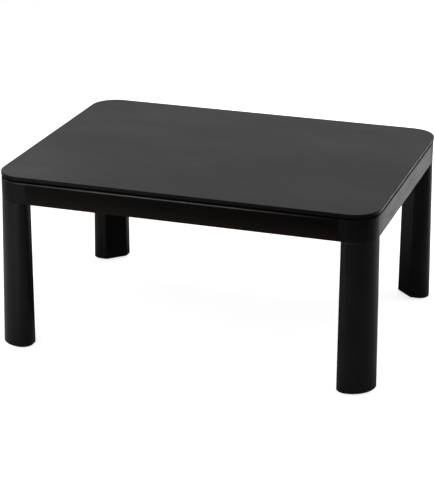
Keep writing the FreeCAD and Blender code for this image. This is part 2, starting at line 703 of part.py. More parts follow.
def make_bracket():
    """Steel angle in the front left corner between crossbar and rail."""
    middle_z = (BAR_TOP_Z + BAR_BOTTOM_Z) / 2.0
    z_span = (middle_z - BRACKET_HEIGHT / 2.0, middle_z + BRACKET_HEIGHT / 2.0)
    root_x = -BAR_OFFSET - BAR_WIDTH / 2.0
    root_y = -RAIL_INNER_Y
    on_rail = block((root_x - BRACKET_LEG, root_x), (root_y, root_y + BRACKET_THICKNESS), z_span)
    on_bar = block((root_x - BRACKET_THICKNESS, root_x), (root_y, root_y + BRACKET_LEG), z_span)
    holes = [pilot(SCREW_RADIUS, BRACKET_THICKNESS, seat, heading, SHANK_PLAY)
             for seat, heading in bracket_screw_seats()]
    return on_rail.fuse(on_bar).removeSplitter().cut(holes)


def make_brackets():
    """The four brackets and their screws."""
    bracket = make_bracket()
    screws = [wood_screw(seat, heading) for seat, heading in bracket_screw_seats()]
    return {"crossbar_brackets": [mirrored(bracket, *sides) for sides in CORNERS.values()],
            "bracket_screws": [mirrored(item, *sides) for sides in CORNERS.values() for item in screws]}


# Heater body

def inlet_span_x():
    """Left and right side of the inlet housing."""
    return INLET_OFFSET - INLET_WIDTH / 2.0, INLET_OFFSET + INLET_WIDTH / 2.0


def wall_hole_z():
    """Height of the leads where they pass the back wall of the pan."""
    return PAN_CEILING_Z - TERMINAL_HEIGHT / 2.0


def guard_screw_seats():
    """Seats of the four screws that clamp bezel and guard to the pan's flange."""
    y = PAN_WIDTH / 2.0 + GUARD_RIM - GUARD_GAP
    return [Vector(side_x * PAN_LENGTH / 4.0, side_y * y, FLANGE_Z - GUARD_SHEET - BEZEL_THICKNESS)
            for side_x in SIDES for side_y in SIDES]


def guard_screw_holes():
    """Clearance holes for the guard screws, through bezel, guard rim and flange."""
    return [pilot(SMALL_SCREW_RADIUS, SMALL_SCREW_LENGTH, seat, Vector(0, 0, 1), SEAT_PLAY)
            for seat in guard_screw_seats()]


def lead_entry_places():
    """Places where the two supply leads leave the inlet housing."""
    y = INLET_FRONT_Y + INLET_WALL + INLET_PIN_RADIUS
    return [(INLET_OFFSET + side * INLET_PIN_OFFSET, y) for side in SIDES]


def make_pan():
    """Pressed steel pan, open downwards, with a flange under the crossbars and a tab for the inlet."""
    half_x = PAN_LENGTH / 2.0
    half_y = PAN_WIDTH / 2.0
    flange_span = (FLANGE_Z, FLANGE_Z + PAN_SHEET)
    shell = rounded_plate(half_x, half_y, PAN_CORNER_RADIUS, (FLANGE_Z, PAN_TOP_Z))
    flange = rounded_plate(half_x + PAN_FLANGE_REACH, half_y + PAN_FLANGE_SIDE, PAN_CORNER_RADIUS,
                           flange_span)
    tab_x = inlet_span_x()
    tab = block((tab_x[0] - INLET_TAB_MARGIN, tab_x[1] + INLET_TAB_MARGIN),
                (half_y, INLET_FRONT_Y + INLET_DEPTH + INLET_TAB_MARGIN), flange_span)
    hollow = rounded_plate(half_x - PAN_SHEET, half_y - PAN_SHEET, PAN_CORNER_RADIUS - PAN_SHEET,
                           (FLANGE_Z - OVERRUN, PAN_CEILING_Z))
    holes = [hollow] + guard_screw_holes()
    holes += [pilot(SCREW_RADIUS, PAN_SHEET, seat, Vector(0, 0, 1), SHANK_PLAY)
              for seat in heater_screw_seats()]
    lead_hole = LEAD_RADIUS + SHANK_PLAY
    for x, y in lead_entry_places():
        holes.append(upright(lead_hole, (x, y), (FLANGE_Z - OVERRUN, BAR_BOTTOM_Z + OVERRUN)))
        outside = Vector(x, half_y + OVERRUN, wall_hole_z())
        holes.append(rod(lead_hole, outside.sub(Vector(0, PAN_SHEET + 2.0 * OVERRUN, 0)), outside))
    return shell.fuse([flange, tab]).cut(holes)


def make_mat():
    """Insulation mat under the pan's ceiling, between the tube holders."""
    half_x = HOLDER_OFFSET - HOLDER_FOOT - MAT_GAP
    half_y = PAN_WIDTH / 2.0 - PAN_SHEET - MAT_GAP
    return block((-half_x, half_x), (-half_y, half_y), (PAN_CEILING_Z - MAT_THICKNESS, PAN_CEILING_Z))


def thickened(points, thickness):
    """Closed band of points: a folded line and the same line set off by a thickness, with mitred folds."""
    shifted = []
    for index, point in enumerate(points):
        before = points[max(index - 1, 0)]
        after = points[min(index + 1, len(points) - 1)]
        normals = []
        for a, b in ((before, point), (point, after)):
            span = math.hypot(b[0] - a[0], b[1] - a[1])
            if span > 0:
                normals.append(((b[1] - a[1]) / span, (a[0] - b[0]) / span))
        mean = (sum(n[0] for n in normals), sum(n[1] for n in normals))
        size = mean[0] ** 2 + mean[1] ** 2
        scale = thickness * len(normals) / size
        shifted.append((point[0] + mean[0] * scale, point[1] + mean[1] * scale))
    return points + shifted[::-1]


def make_reflector():
    """Folded reflector sheet with one trough over each tube."""
    lip_y = PAN_WIDTH / 2.0 - PAN_SHEET - MAT_GAP
    crown_z = PAN_CEILING_Z - MAT_THICKNESS
    lip_z = FLANGE_Z + PAN_SHEET
    ridge_z = crown_z - REFLECTOR_RIDGE_DEPTH
    half = [(lip_y, lip_z), (lip_y, lip_z + REFLECTOR_LIP), (TUBE_OFFSET + REFLECTOR_CROWN, crown_z),
            (TUBE_OFFSET - REFLECTOR_CROWN, crown_z), (REFLECTOR_RIDGE, ridge_z)]
    upper = [(-y, z) for y, z in half] + half[::-1]
    band = thickened(upper, REFLECTOR_SHEET)
    x = HOLDER_OFFSET - MAT_GAP
    corners = [Vector(-x, y, z) for y, z in band]
    return Part.Face(Part.makePolygon(corners + corners[:1])).extrude(Vector(2.0 * x, 0, 0))


def make_holder(side):
    """Upright plate that carries the ends of both tubes, with a foot on the pan's ceiling beside the mat."""
    x = side * HOLDER_OFFSET
    outer_x = x + side * HOLDER_SHEET
    lower_z = TUBE_Z - HOLDER_BELOW_TUBE
    half = HOLDER_WIDTH / 2.0
    plate = block((x, outer_x), (-half, half), (lower_z, PAN_CEILING_Z))
    foot = block((x, x - side * HOLDER_FOOT), (-half, half), (PAN_CEILING_Z - HOLDER_SHEET, PAN_CEILING_Z))
    holes = [rod(CERAMIC_NECK_RADIUS + SEAT_PLAY, Vector(x - side * OVERRUN, row * TUBE_OFFSET, TUBE_Z),
                 Vector(outer_x + side * OVERRUN, row * TUBE_OFFSET, TUBE_Z)) for row in SIDES]
    return plate.fuse(foot).removeSplitter().cut(holes)


def make_ceramic(side, row):
    """Stepped ceramic cap on one end of a tube, its neck through the holder."""
    y = row * TUBE_OFFSET
    plate_x = side * HOLDER_OFFSET
    end_x = side * (HOLDER_OFFSET + HOLDER_SHEET + CERAMIC_NECK_LENGTH)
    start_x = plate_x - side * CERAMIC_LENGTH
    body = rod(CERAMIC_RADIUS, Vector(start_x, y, TUBE_Z), Vector(plate_x, y, TUBE_Z))
    neck = rod(CERAMIC_NECK_RADIUS, Vector(start_x, y, TUBE_Z), Vector(end_x, y, TUBE_Z))
    mouth = Vector(start_x - side * OVERRUN, y, TUBE_Z)
    bore = rod(TUBE_RADIUS + SEAT_PLAY, mouth, Vector(side * TUBE_HALF, y, TUBE_Z))
    pin_hole = rod(COIL_PIN_RADIUS + PILOT_PLAY, mouth, Vector(end_x + side * OVERRUN, y, TUBE_Z))
    return body.fuse(neck).cut([bore, pin_hole])


def make_tubes():
    """Two quartz tubes, their coils, end caps and holders."""
    nodes = {"tube_holders": [make_holder(side) for side in SIDES],
             "tube_end_caps": [make_ceramic(side, row) for side in SIDES for row in SIDES]}
    pin_x = HOLDER_OFFSET + HOLDER_SHEET + CERAMIC_NECK_LENGTH + COIL_PIN_PROUD
    coil_x = TUBE_HALF - TUBE_ENTRY
    for name, row in (("front", -1.0), ("back", 1.0)):
        y = row * TUBE_OFFSET
        ends = [Vector(side * TUBE_HALF, y, TUBE_Z) for side in SIDES]
        nodes["quartz_tube_" + name] = ring(TUBE_RADIUS, TUBE_RADIUS - TUBE_WALL, ends[0], ends[1])
        winding = rod(COIL_RADIUS, Vector(-coil_x, y, TUBE_Z), Vector(coil_x, y, TUBE_Z))
        pins = rod(COIL_PIN_RADIUS, Vector(-pin_x, y, TUBE_Z), Vector(pin_x, y, TUBE_Z))
        nodes["heating_coil_" + name] = winding.fuse(pins)
    return nodes


# Wiring

def make_lead(points):
    """Insulated lead along straight runs joined by tangent arcs."""
    edges = []
    start = points[0]
    for before, point, after in zip(points, points[1:], points[2:]):
        into = point.sub(before).normalize()
        out = after.sub(point).normalize()
        half_turn = into.getAngle(out) / 2.0
        room = min(point.distanceToPoint(before), point.distanceToPoint(after)) / 2.2
        cut_back = min(LEAD_BEND * math.tan(half_turn), room)
        arc_start = point.sub(into * cut_back)
        arc_end = point.add(out * cut_back)
        radius = cut_back / math.tan(half_turn)
        bisector = out.sub(into).normalize()
        center = point.add(bisector * (radius / math.cos(half_turn)))
        arc_mid = center.sub(bisector * radius)
        edges += [Part.makeLine(start, arc_start), Part.Arc(arc_start, arc_mid, arc_end).toShape()]
        start = arc_end
    edges.append(Part.makeLine(start, points[-1]))
    profile = Part.Wire(Part.makeCircle(LEAD_RADIUS, points[0], points[1].sub(points[0])))
    return Part.Wire(edges).makePipeShell([profile], True, False)


def terminal_ports():
    """Mouths of the terminal block's ports: two at the back for supply, two at the front."""
    z = wall_hole_z()
    back_y = TERMINAL_OFFSET + TERMINAL_LENGTH / 2.0
    front_y = TERMINAL_OFFSET - TERMINAL_LENGTH / 2.0
    xs = [CHAMBER_OFFSET + side * TERMINAL_WIDTH / 4.0 for side in SIDES]
    return [Vector(x, back_y, z) for x in xs], [Vector(x, front_y, z) for x in xs]


def make_terminal_block():
    """Ceramic terminal block under the pan's ceiling, its ports as blind holes."""
    x_span = (CHAMBER_OFFSET - TERMINAL_WIDTH / 2.0, CHAMBER_OFFSET + TERMINAL_WIDTH / 2.0)
    y_span = (TERMINAL_OFFSET - TERMINAL_LENGTH / 2.0, TERMINAL_OFFSET + TERMINAL_LENGTH / 2.0)
    solid = block(x_span, y_span, (PAN_CEILING_Z - TERMINAL_HEIGHT, PAN_CEILING_Z))
    back, front = terminal_ports()
    holes = []
    for mouths, heading in ((back, Vector(0, -1, 0)), (front, Vector(0, 1, 0))):
        for mouth in mouths:
            inner = mouth.add(heading * TERMINAL_PORT_DEPTH)
            holes.append(rod(TERMINAL_PORT_RADIUS, mouth.sub(heading * OVERRUN), inner))
    return solid.cut(holes)


def make_thermostat():
    """Disc thermostat under the pan's ceiling, with two blade terminals."""
    top = Vector(CHAMBER_OFFSET, 0, PAN_CEILING_Z)
    low = top.sub(Vector(0, 0, THERMOSTAT_HEIGHT))
    body = rod(THERMOSTAT_RADIUS - THERMOSTAT_RIM, low, top)
    rim = rod(THERMOSTAT_RADIUS, top.sub(Vector(0, 0, THERMOSTAT_RIM)), top)
    blade = block((CHAMBER_OFFSET - BLADE_WIDTH / 2.0, CHAMBER_OFFSET + BLADE_WIDTH / 2.0),
                  (-BLADE_THICKNESS / 2.0, BLADE_THICKNESS / 2.0),
                  (low.z - BLADE_LENGTH, low.z + THERMOSTAT_RIM))
    blades = [moved(blade, Vector(0, side * BLADE_OFFSET, 0)) for side in SIDES]
    return body.fuse([rim] + blades)


def make_fuse():
    """Thermal fuse against the pan's ceiling."""
    z = PAN_CEILING_Z - FUSE_RADIUS - SEAT_PLAY
    return rod(FUSE_RADIUS, Vector(CHAMBER_OFFSET, FUSE_OFFSET - FUSE_LENGTH / 2.0, z),
               Vector(CHAMBER_OFFSET, FUSE_OFFSET + FUSE_LENGTH / 2.0, z))


def make_leads():
    """Supply leads from inlet to terminal block, and the heater's own leads."""
    back, front = terminal_ports()
    z = wall_hole_z()
    pin_x = HOLDER_OFFSET + HOLDER_SHEET + CERAMIC_NECK_LENGTH + COIL_PIN_PROUD + SEAT_PLAY
    blade_z = PAN_CEILING_Z - THERMOSTAT_HEIGHT - BLADE_LENGTH - SEAT_PLAY
    fuse_z = PAN_CEILING_Z - FUSE_RADIUS - SEAT_PLAY
    low_z = TUBE_Z + CERAMIC_RADIUS
    leads = []
    for (x, y), port in zip(lead_entry_places(), back):
        mouth = port.add(Vector(0, SEAT_PLAY, 0))
        turn_y = PAN_WIDTH / 2.0 - PAN_SHEET - 2.0 * LEAD_BEND
        leads.append(make_lead([Vector(x, y, INLET_PIN_Z + INLET_PIN_RADIUS + SEAT_PLAY),
                                Vector(x, y, z),
                                Vector(x, turn_y, z), Vector(mouth.x, mouth.y + LEAD_BEND, z), mouth]))
    blade_back = Vector(CHAMBER_OFFSET, BLADE_OFFSET, blade_z)
    blade_front = Vector(CHAMBER_OFFSET, -BLADE_OFFSET, blade_z)
    step = Vector(0, 0, -LEAD_BEND)
    leads.append(make_lead([front[0].sub(Vector(0, SEAT_PLAY, 0)), Vector(front[0].x, 3.0 * LEAD_BEND, z),
                            Vector(CHAMBER_OFFSET, 2.0 * LEAD_BEND, blade_back.add(step).z),
                            blade_back.add(step), blade_back]))
    fuse_end = Vector(CHAMBER_OFFSET, FUSE_OFFSET + FUSE_LENGTH / 2.0 + SEAT_PLAY, fuse_z)
    leads.append(make_lead([blade_front, blade_front.add(step),
                            Vector(CHAMBER_OFFSET, -3.0 * LEAD_BEND, blade_z),
                            Vector(CHAMBER_OFFSET, fuse_end.y + LEAD_BEND, fuse_z), fuse_end]))
    fuse_far = Vector(CHAMBER_OFFSET, FUSE_OFFSET - FUSE_LENGTH / 2.0 - SEAT_PLAY, fuse_z)
    front_pin = Vector(pin_x, -TUBE_OFFSET, TUBE_Z)
    leads.append(make_lead([fuse_far, fuse_far.sub(Vector(0, LEAD_BEND, 0)),
                            Vector(pin_x + LEAD_BEND, -TUBE_OFFSET, low_z),
                            Vector(pin_x + LEAD_BEND, -TUBE_OFFSET, TUBE_Z), front_pin]))
    back_pin = Vector(pin_x, TUBE_OFFSET, TUBE_Z)
    leads.append(make_lead([front[1].sub(Vector(0, SEAT_PLAY, 0)),
                            Vector(front[1].x, front[1].y - 2.0 * LEAD_BEND, z),
                            Vector(pin_x + LEAD_BEND, TUBE_OFFSET - 2.0 * LEAD_BEND, low_z),
                            Vector(pin_x + LEAD_BEND, TUBE_OFFSET, TUBE_Z), back_pin]))
    far_x = -pin_x - LEAD_BEND
    leads.append(make_lead([Vector(-pin_x, -TUBE_OFFSET, TUBE_Z), Vector(far_x, -TUBE_OFFSET, TUBE_Z),
                            Vector(far_x, -TUBE_OFFSET / 2.0, low_z), Vector(far_x, TUBE_OFFSET / 2.0, low_z),
                            Vector(far_x, TUBE_OFFSET, TUBE_Z), Vector(-pin_x, TUBE_OFFSET, TUBE_Z)]))
    return leads


# Inlet

def make_inlet():
    """Moulded inlet housing under the pan's tab, open to the back, with its two pins."""
    back_y = INLET_FRONT_Y + INLET_DEPTH
    base_y = back_y - INLET_CAVITY_DEPTH
    x_span = inlet_span_x()
    low_z = FLANGE_Z - INLET_HEIGHT
    housing = block(x_span, (INLET_FRONT_Y, back_y), (low_z, FLANGE_Z))
    housing = rounded_along(housing, INLET_ROUNDING, lambda edge: edge.BoundBox.ZMax < INLET_PIN_Z
                            and edge.BoundBox.YLength > INLET_DEPTH / 2.0)
    cavity = block((x_span[0] + INLET_WALL, x_span[1] - INLET_WALL), (base_y, back_y + OVERRUN),
                   (low_z + INLET_WALL, FLANGE_Z - INLET_WALL))
    pins = []
    holes = [cavity]
    for x, y in lead_entry_places():
        start = Vector(x, base_y - INLET_PIN_TAIL, INLET_PIN_Z)
        pins.append(rod(INLET_PIN_RADIUS, start, Vector(x, base_y + INLET_PIN_LENGTH, INLET_PIN_Z)))
        holes.append(rod(INLET_PIN_RADIUS + PILOT_PLAY, start.sub(Vector(0, PILOT_PLAY, 0)),
                         Vector(x, base_y + OVERRUN, INLET_PIN_Z)))
        holes.append(upright(LEAD_RADIUS + SEAT_PLAY, (x, y), (INLET_PIN_Z, FLANGE_Z + OVERRUN)))
    return {"inlet_housing": housing.cut(holes), "inlet_pins": pins}


# Guard

def guard_body(inset, z_span):
    """Tapered tray body of the guard, drawn inset from its outer skin, narrower at the bottom."""
    half_x = PAN_LENGTH / 2.0 - PAN_SHEET - GUARD_GAP - inset
    half_y = PAN_WIDTH / 2.0 - PAN_SHEET - GUARD_GAP - inset
    radius = GUARD_CORNER_RADIUS - inset
    rims = []
    for z in (min(z_span), max(z_span)):
        draft = GUARD_DRAFT * (FLANGE_Z - z) / GUARD_DEPTH
        rims.append(rounded_outline(half_x - draft, half_y - draft, radius, z))
    return Part.makeLoft(rims, True, True)


def slot_prism(x, y, z_span):
    """Upright prism of one slot with round ends, long along X."""
    slot = rounded_plate(SLOT_LENGTH / 2.0, SLOT_WIDTH / 2.0, 0.49 * SLOT_WIDTH, z_span)
    return moved(slot, Vector(x, y, 0))


def make_guard():
    """Punched guard tray with its rim, and the bezel that clamps it."""
    rim_span = (FLANGE_Z - GUARD_SHEET, FLANGE_Z)
    rim_x = PAN_LENGTH / 2.0 + GUARD_RIM
    rim_y = PAN_WIDTH / 2.0 + GUARD_RIM
    rim = rounded_plate(rim_x, rim_y, GUARD_CORNER_RADIUS, rim_span)
    tray = guard_body(0, (GUARD_BOTTOM_Z, FLANGE_Z)).fuse(rim)
    hollow = guard_body(GUARD_SHEET, (GUARD_BOTTOM_Z + GUARD_SHEET, FLANGE_Z + OVERRUN))
    room_x = PAN_LENGTH / 2.0 - GUARD_DRAFT - GUARD_CORNER_RADIUS
    room_y = PAN_WIDTH / 2.0 - GUARD_DRAFT - GUARD_CORNER_RADIUS / 2.0
    step_x = SLOT_LENGTH + SLOT_WEB
    step_y = SLOT_WIDTH + SLOT_WEB
    columns = max(1, int((2.0 * room_x + SLOT_WEB) / step_x))
    rows = max(1, int((2.0 * room_y + SLOT_WEB) / step_y))
    slot_span = (GUARD_BOTTOM_Z - OVERRUN, GUARD_BOTTOM_Z + GUARD_SHEET + OVERRUN)
    places = [((column - (columns - 1) / 2.0) * step_x, (row - (rows - 1) / 2.0) * step_y)
              for column in range(columns) for row in range(rows)]
    slots = [slot_prism(x, y, slot_span) for x, y in places]
    holes = guard_screw_holes()
    bezel_span = (FLANGE_Z - GUARD_SHEET - BEZEL_THICKNESS, FLANGE_Z - GUARD_SHEET)
    outer_bezel = rounded_plate(rim_x, rim_y, GUARD_CORNER_RADIUS, bezel_span)
    bore_span = (bezel_span[0] - OVERRUN, bezel_span[1] + OVERRUN)
    bore = rounded_plate(rim_x - BEZEL_WIDTH, rim_y - BEZEL_WIDTH, GUARD_CORNER_RADIUS, bore_span)
    return {"guard_grille": tray.cut([hollow] + slots + holes),
            "guard_bezel": outer_bezel.cut([bore] + holes)}


def make_heater():
    """All pieces of the heater."""
    nodes = {"heater_pan": make_pan(), "insulation_mat": make_mat(), "reflector": make_reflector(),
             "terminal_block": make_terminal_block(), "thermostat": make_thermostat(),
             "thermal_fuse": make_fuse(), "lead_wires": make_leads(),
             "heater_screws": [wood_screw(seat, Vector(0, 0, 1)) for seat in heater_screw_seats()],
             "guard_screws": [small_screw(seat, Vector(0, 0, 1)) for seat in guard_screw_seats()]}
    for group in (make_tubes(), make_inlet(), make_guard()):
        nodes.update(group)
    return nodes


def write_node(name, shape):
    """Write one node's solids to its own file, after a check that each is a sound solid."""
    parts = shape if isinstance(shape, list) else [shape]
    solids = [solid for part in parts for solid in part.Solids]
    for solid in solids:
        if not solid.isValid() or solid.Volume <= 0:
            print("unsound solid in", name)
    if not isinstance(shape, list) and len(solids) != 1:
        print(name, "has", len(solids), "solids")
    whole = solids[0] if len(solids) == 1 else Part.makeCompound(solids)
    whole.exportStep("parts/" + name + ".step")


def main():
    """Build every node and write it."""
    os.makedirs("parts", exist_ok=True)
    nodes = {}
    for group in (make_top(), make_rails(), make_corners(), make_crossbars(), make_brackets(), make_heater()):
        nodes.update(group)
    for name, shape in nodes.items():
        write_node(name, shape)
    print(len(nodes), "nodes written")


main()
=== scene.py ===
"""Finishes, wound heating coils, camera and studio for the low heated table.

The table stands on the floor about the origin: X runs along its length, Y from front to back and Z up.
All sizes are in metres. Each sub-assembly is a class that dresses its own pieces, and main() builds
them in order.
"""
import logging
import math
from abc import ABC, abstractmethod
from collections.abc import Iterable
from dataclasses import dataclass, replace
from enum import Enum

import bmesh
import bpy
from mathutils import Matrix, Vector


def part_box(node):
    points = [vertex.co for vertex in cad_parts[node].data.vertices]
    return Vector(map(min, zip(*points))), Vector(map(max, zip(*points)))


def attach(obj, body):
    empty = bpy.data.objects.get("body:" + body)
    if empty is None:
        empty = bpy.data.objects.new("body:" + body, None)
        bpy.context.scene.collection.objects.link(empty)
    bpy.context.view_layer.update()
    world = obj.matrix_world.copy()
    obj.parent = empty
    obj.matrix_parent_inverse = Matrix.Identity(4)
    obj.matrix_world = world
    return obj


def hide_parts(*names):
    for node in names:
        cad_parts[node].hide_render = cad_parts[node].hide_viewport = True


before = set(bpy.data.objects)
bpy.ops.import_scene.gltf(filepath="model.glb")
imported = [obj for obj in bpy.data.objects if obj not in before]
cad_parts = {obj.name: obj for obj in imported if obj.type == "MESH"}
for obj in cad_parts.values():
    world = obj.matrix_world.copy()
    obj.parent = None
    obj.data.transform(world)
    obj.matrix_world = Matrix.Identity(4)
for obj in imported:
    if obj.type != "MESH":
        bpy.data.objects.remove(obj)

LOG = logging.getLogger("low_table")
MILLIMETRE = 0.001
Color = tuple[float, float, float]
Place = tuple[float, float, float]
Socket = bpy.types.NodeSocket
Value = Socket | float | Color
WHITE: Color = (1.0, 1.0, 1.0)
BLACK: Color = (0.0, 0.0, 0.0)
CORNERS = ("front_left", "front_right", "back_left", "back_right")
# places of a Mix node's colour sockets, whose names are not unique
MIX_FACTOR, MIX_FIRST, MIX_SECOND, MIX_RESULT = 0, 6, 7, 2
# length of one wave of the wave texture at scale 1
WAVE_LENGTH = 0.314
# names of inputs that are not plain words in title case
LABELS = {"ior": "IOR", "specular_ior_level": "Specular IOR Level"}


class Axis(Enum):
    """Direction that a grain or a brushing follows."""

    X = 0
    Y = 1
    Z = 2


class Body(Enum):
    """Body of the table that a new piece rides on."""

    FRAME = "frame"


class Facing(Enum):
    """What a lamp faces."""

    TABLE = "table"
    FLOOR = "floor"


class NodeTree:
    """A node tree, with short methods for the nodes that materials and sky share."""

    def __init__(self, tree: bpy.types.NodeTree) -> None:
        """Take hold of the tree to draw in."""
        self.nodes = tree.nodes
        self.links = tree.links

    def feed(self, socket: Socket, value: Value) -> None:
        """Link a socket to another, or set it to a plain value.

        Args:
            socket: the input to fill.
            value: an output to link from, a number or a colour.
        """
        if isinstance(value, bpy.types.NodeSocket):
            self.links.new(value, socket)
        elif socket.type == "RGBA":
            socket.default_value = (*value, 1.0)
        else:
            socket.default_value = value

    def fill(self, node: bpy.types.Node, **values: Value) -> None:
        """Fill inputs of a node, named in lower case with underscores."""
        for name, value in values.items():
            self.feed(node.inputs[LABELS.get(name, name.replace("_", " ").title())], value)

    def math(self, operation: str, first: Socket | float, second: Socket | float = 0.0) -> Socket:
        """One arithmetic step.

        Args:
            operation: Blender's name of the operation.
            first: its first operand.
            second: its second operand.

        Returns:
            The result.
        """
        node = self.nodes.new("ShaderNodeMath")
        node.operation = operation
        self.feed(node.inputs[0], first)
        self.feed(node.inputs[1], second)
        return node.outputs["Value"]

    def highest(self, values: Iterable[Socket]) -> Socket | float:
        """Largest of several values.

        Args:
            values: the values, none of them under 0.

        Returns:
            The largest, or 0 where there are none.
        """
        total: Socket | float = 0.0
        for value in values:
            total = self.math("MAXIMUM", total, value)
        return total

    def ranged(self, value: Socket, start: float, stop: float,
               low: float = 0.0, high: float = 1.0) -> Socket:
        """A value moved from one range to another, and held within it.

        Args:
            value: the value to move.
            start: value that becomes low.
            stop: value that becomes high.
            low: lower end of the result.
            high: upper end of the result.

        Returns:
            The moved value.
        """
        node = self.nodes.new("ShaderNodeMapRange")
        self.fill(node, value=value, from_min=start, from_max=stop, to_min=low, to_max=high)
        return node.outputs["Result"]

    def seen_share(self, glossy_share: Socket | float) -> Socket:
        """Share of a backdrop's own white that a ray sees.

        Args:
            glossy_share: what reflections and glass see of it.

        Returns:
            1 for camera rays, the given share for glossy and transmitted rays, and 0 for light.
        """
        path = self.nodes.new("ShaderNodeLightPath").outputs
        indirect = self.math("MAXIMUM", path["Is Glossy Ray"], path["Is Transmission Ray"])
        return self.math("MAXIMUM", path["Is Camera Ray"], self.math("MULTIPLY", indirect, glossy_share))


class Shader(NodeTree):
    """Node tree of one material, with short methods for the nodes that the finishes share."""

    def __init__(self, name: str) -> None:
        """Start a material with one Principled shader.

        Args:
            name: name of the material.
        """
        self.material = bpy.data.materials.new(name)
        self.material.use_nodes = True
        super().__init__(self.material.node_tree)
        self.nodes.clear()
        self.surface = self.nodes.new("ShaderNodeBsdfPrincipled")
        output = self.nodes.new("ShaderNodeOutputMaterial")
        self.links.new(self.surface.outputs["BSDF"], output.inputs["Surface"])
        self.place = self.nodes.new("ShaderNodeTexCoord").outputs["Object"]

    def set(self, **values: Value) -> None:
        """Fill inputs of the surface shader, named in lower case with underscores."""
        self.fill(self.surface, **values)

    def stretched(self, scale: Place, turn: float = 0.0) -> Socket:
        """Object coordinates, scaled on each axis and turned about Z.

        Args:
            scale: factors along X, Y and Z; a small factor draws a pattern out along that axis.
            turn: angle about Z, in degrees.

        Returns:
            The changed coordinates.
        """
        node = self.nodes.new("ShaderNodeMapping")
        self.fill(node, vector=self.place, scale=scale, rotation=(0.0, 0.0, math.radians(turn)))
        return node.outputs["Vector"]

    def along(self, axis: Axis, share: float, turn: float = 0.0) -> Socket:
        """Object coordinates drawn out along one axis, for a grain that follows it.

        Args:
            axis: the direction of the grain.
            share: scale along the grain as a share of the scale across it.
            turn: angle about Z, in degrees.

        Returns:
            The changed coordinates.
        """
        scale = [1.0, 1.0, 1.0]
        scale[axis.value] = share
        return self.stretched(tuple(scale), turn)

    def noise(self, place: Socket, size: float, detail: float, roughness: float = 0.5) -> Socket:
        """Soft noise.

        Args:
            place: coordinates to read it at.
            size: width of its largest features.
            detail: number of finer octaves.
            roughness: weight of the finer octaves.

        Returns:
            A value around a half, from 0 to 1.
        """
        node = self.nodes.new("ShaderNodeTexNoise")
        self.fill(node, vector=place, scale=1.0 / size, detail=detail, roughness=roughness)
        return node.outputs["Fac"]

    def cells(self, size: float, output: str) -> Socket:
        """Cell pattern.

        Args:
            size: width of a cell.
            output: name of the wanted output.

        Returns:
            The chosen output.
        """
        node = self.nodes.new("ShaderNodeTexVoronoi")
        self.fill(node, vector=self.place, scale=1.0 / size)
        return node.outputs[output]

    def waves(self, place: Socket, length: float) -> bpy.types.Node:
        """Wave pattern.

        Args:
            place: coordinates to read it at.
            length: length of one wave.

        Returns:
            Its node.
        """
        node = self.nodes.new("ShaderNodeTexWave")
        self.fill(node, vector=place, scale=WAVE_LENGTH / length)
        return node

    def mixed(self, share: Socket | float, first: Socket | Color, second: Socket | Color) -> Socket:
        """Colour between two others.

        Args:
            share: 0 gives the first colour and 1 the second.
            first: the first colour.
            second: the second colour.

        Returns:
            The mixed colour.
        """
        node = self.nodes.new("ShaderNodeMix")
        node.data_type = "RGBA"
        for index, value in ((MIX_FACTOR, share), (MIX_FIRST, first), (MIX_SECOND, second)):
            self.feed(node.inputs[index], value)
        return node.outputs[MIX_RESULT]

    def level(self, axis: Axis) -> Socket:
        """Place along one axis.

        Args:
            axis: the axis to measure along.

        Returns:
            The place, in metres.
        """
        node = self.nodes.new("ShaderNodeSeparateXYZ")
        self.fill(node, vector=self.place)
        return node.outputs[axis.value]

    def off(self, value: Socket, target: float) -> Socket:
        """Distance of a value from a target, on either side."""
        return self.math("ABSOLUTE", self.math("SUBTRACT", value, target))

    def near(self, axis: Axis, target: float, reach: float) -> Socket:
        """Mask that is 1 at one place along an axis and falls to 0 at a reach from it."""
        return self.ranged(self.off(self.level(axis), target), 0.0, reach, 1.0, 0.0)

    def relief(self, height: Socket, depth: float, below: Socket | None = None) -> Socket:
        """Bump from a height pattern.

        Args:
            height: the pattern, from 0 to 1.
            depth: height of 1 in metres.
            below: a coarser bump that this one lies on.

        Returns:
            The changed normal.
        """
        node = self.nodes.new("ShaderNodeBump")
        self.fill(node, distance=depth, height=height)
        if below is not None:
            self.fill(node, normal=below)
        return node.outputs["Normal"]


def scaled(color: Color, gain: float) -> Color:
    """Colour with its three parts times one gain."""
    return tuple(gain * part for part in color)


@dataclass(frozen=True)
class Noise:
    """Soft noise, drawn out along a grain where its stretch is not 1.

    Attributes:
        size: width of its largest features across the grain.
        detail: number of finer octaves.
        roughness: weight of the finer octaves.
        stretch: scale along the grain as a share of the scale across it.
        turn: angle of the grain about Z, in degrees.
    """

    size: float
    detail: float
    roughness: float = 0.5
    stretch: float = 1.0
    turn: float = 0.0

    def value(self, shader: Shader, grain: Axis = Axis.X) -> Socket:
        """Draw the noise.

        Args:
            shader: the node tree to draw in.
            grain: the direction of the grain.

        Returns:
            A value around a half, from 0 to 1.
        """
        place = shader.place
        if self.stretch != 1.0:
            place = shader.along(grain, self.stretch, self.turn)
        return shader.noise(place, self.size, self.detail, self.roughness)


@dataclass(frozen=True)
class Patches(Noise):
    """Noise that is held between two levels, so that it leaves patches.

    Attributes:
        start: noise level at which a patch begins.
        stop: noise level at which it is full.
        low: strength between the patches, where a full patch has 1.
    """

    start: float = 0.3
    stop: float = 0.7
    low: float = 0.0

    def held(self, shader: Shader, noise: Socket) -> Socket:
        """Patches of a noise that is drawn already."""
        return shader.ranged(noise, self.start, self.stop, self.low, 1.0)

    def mask(self, shader: Shader, grain: Axis = Axis.X) -> Socket:
        """Draw the patches, with their grain along an axis."""
        return self.held(shader, self.value(shader, grain))


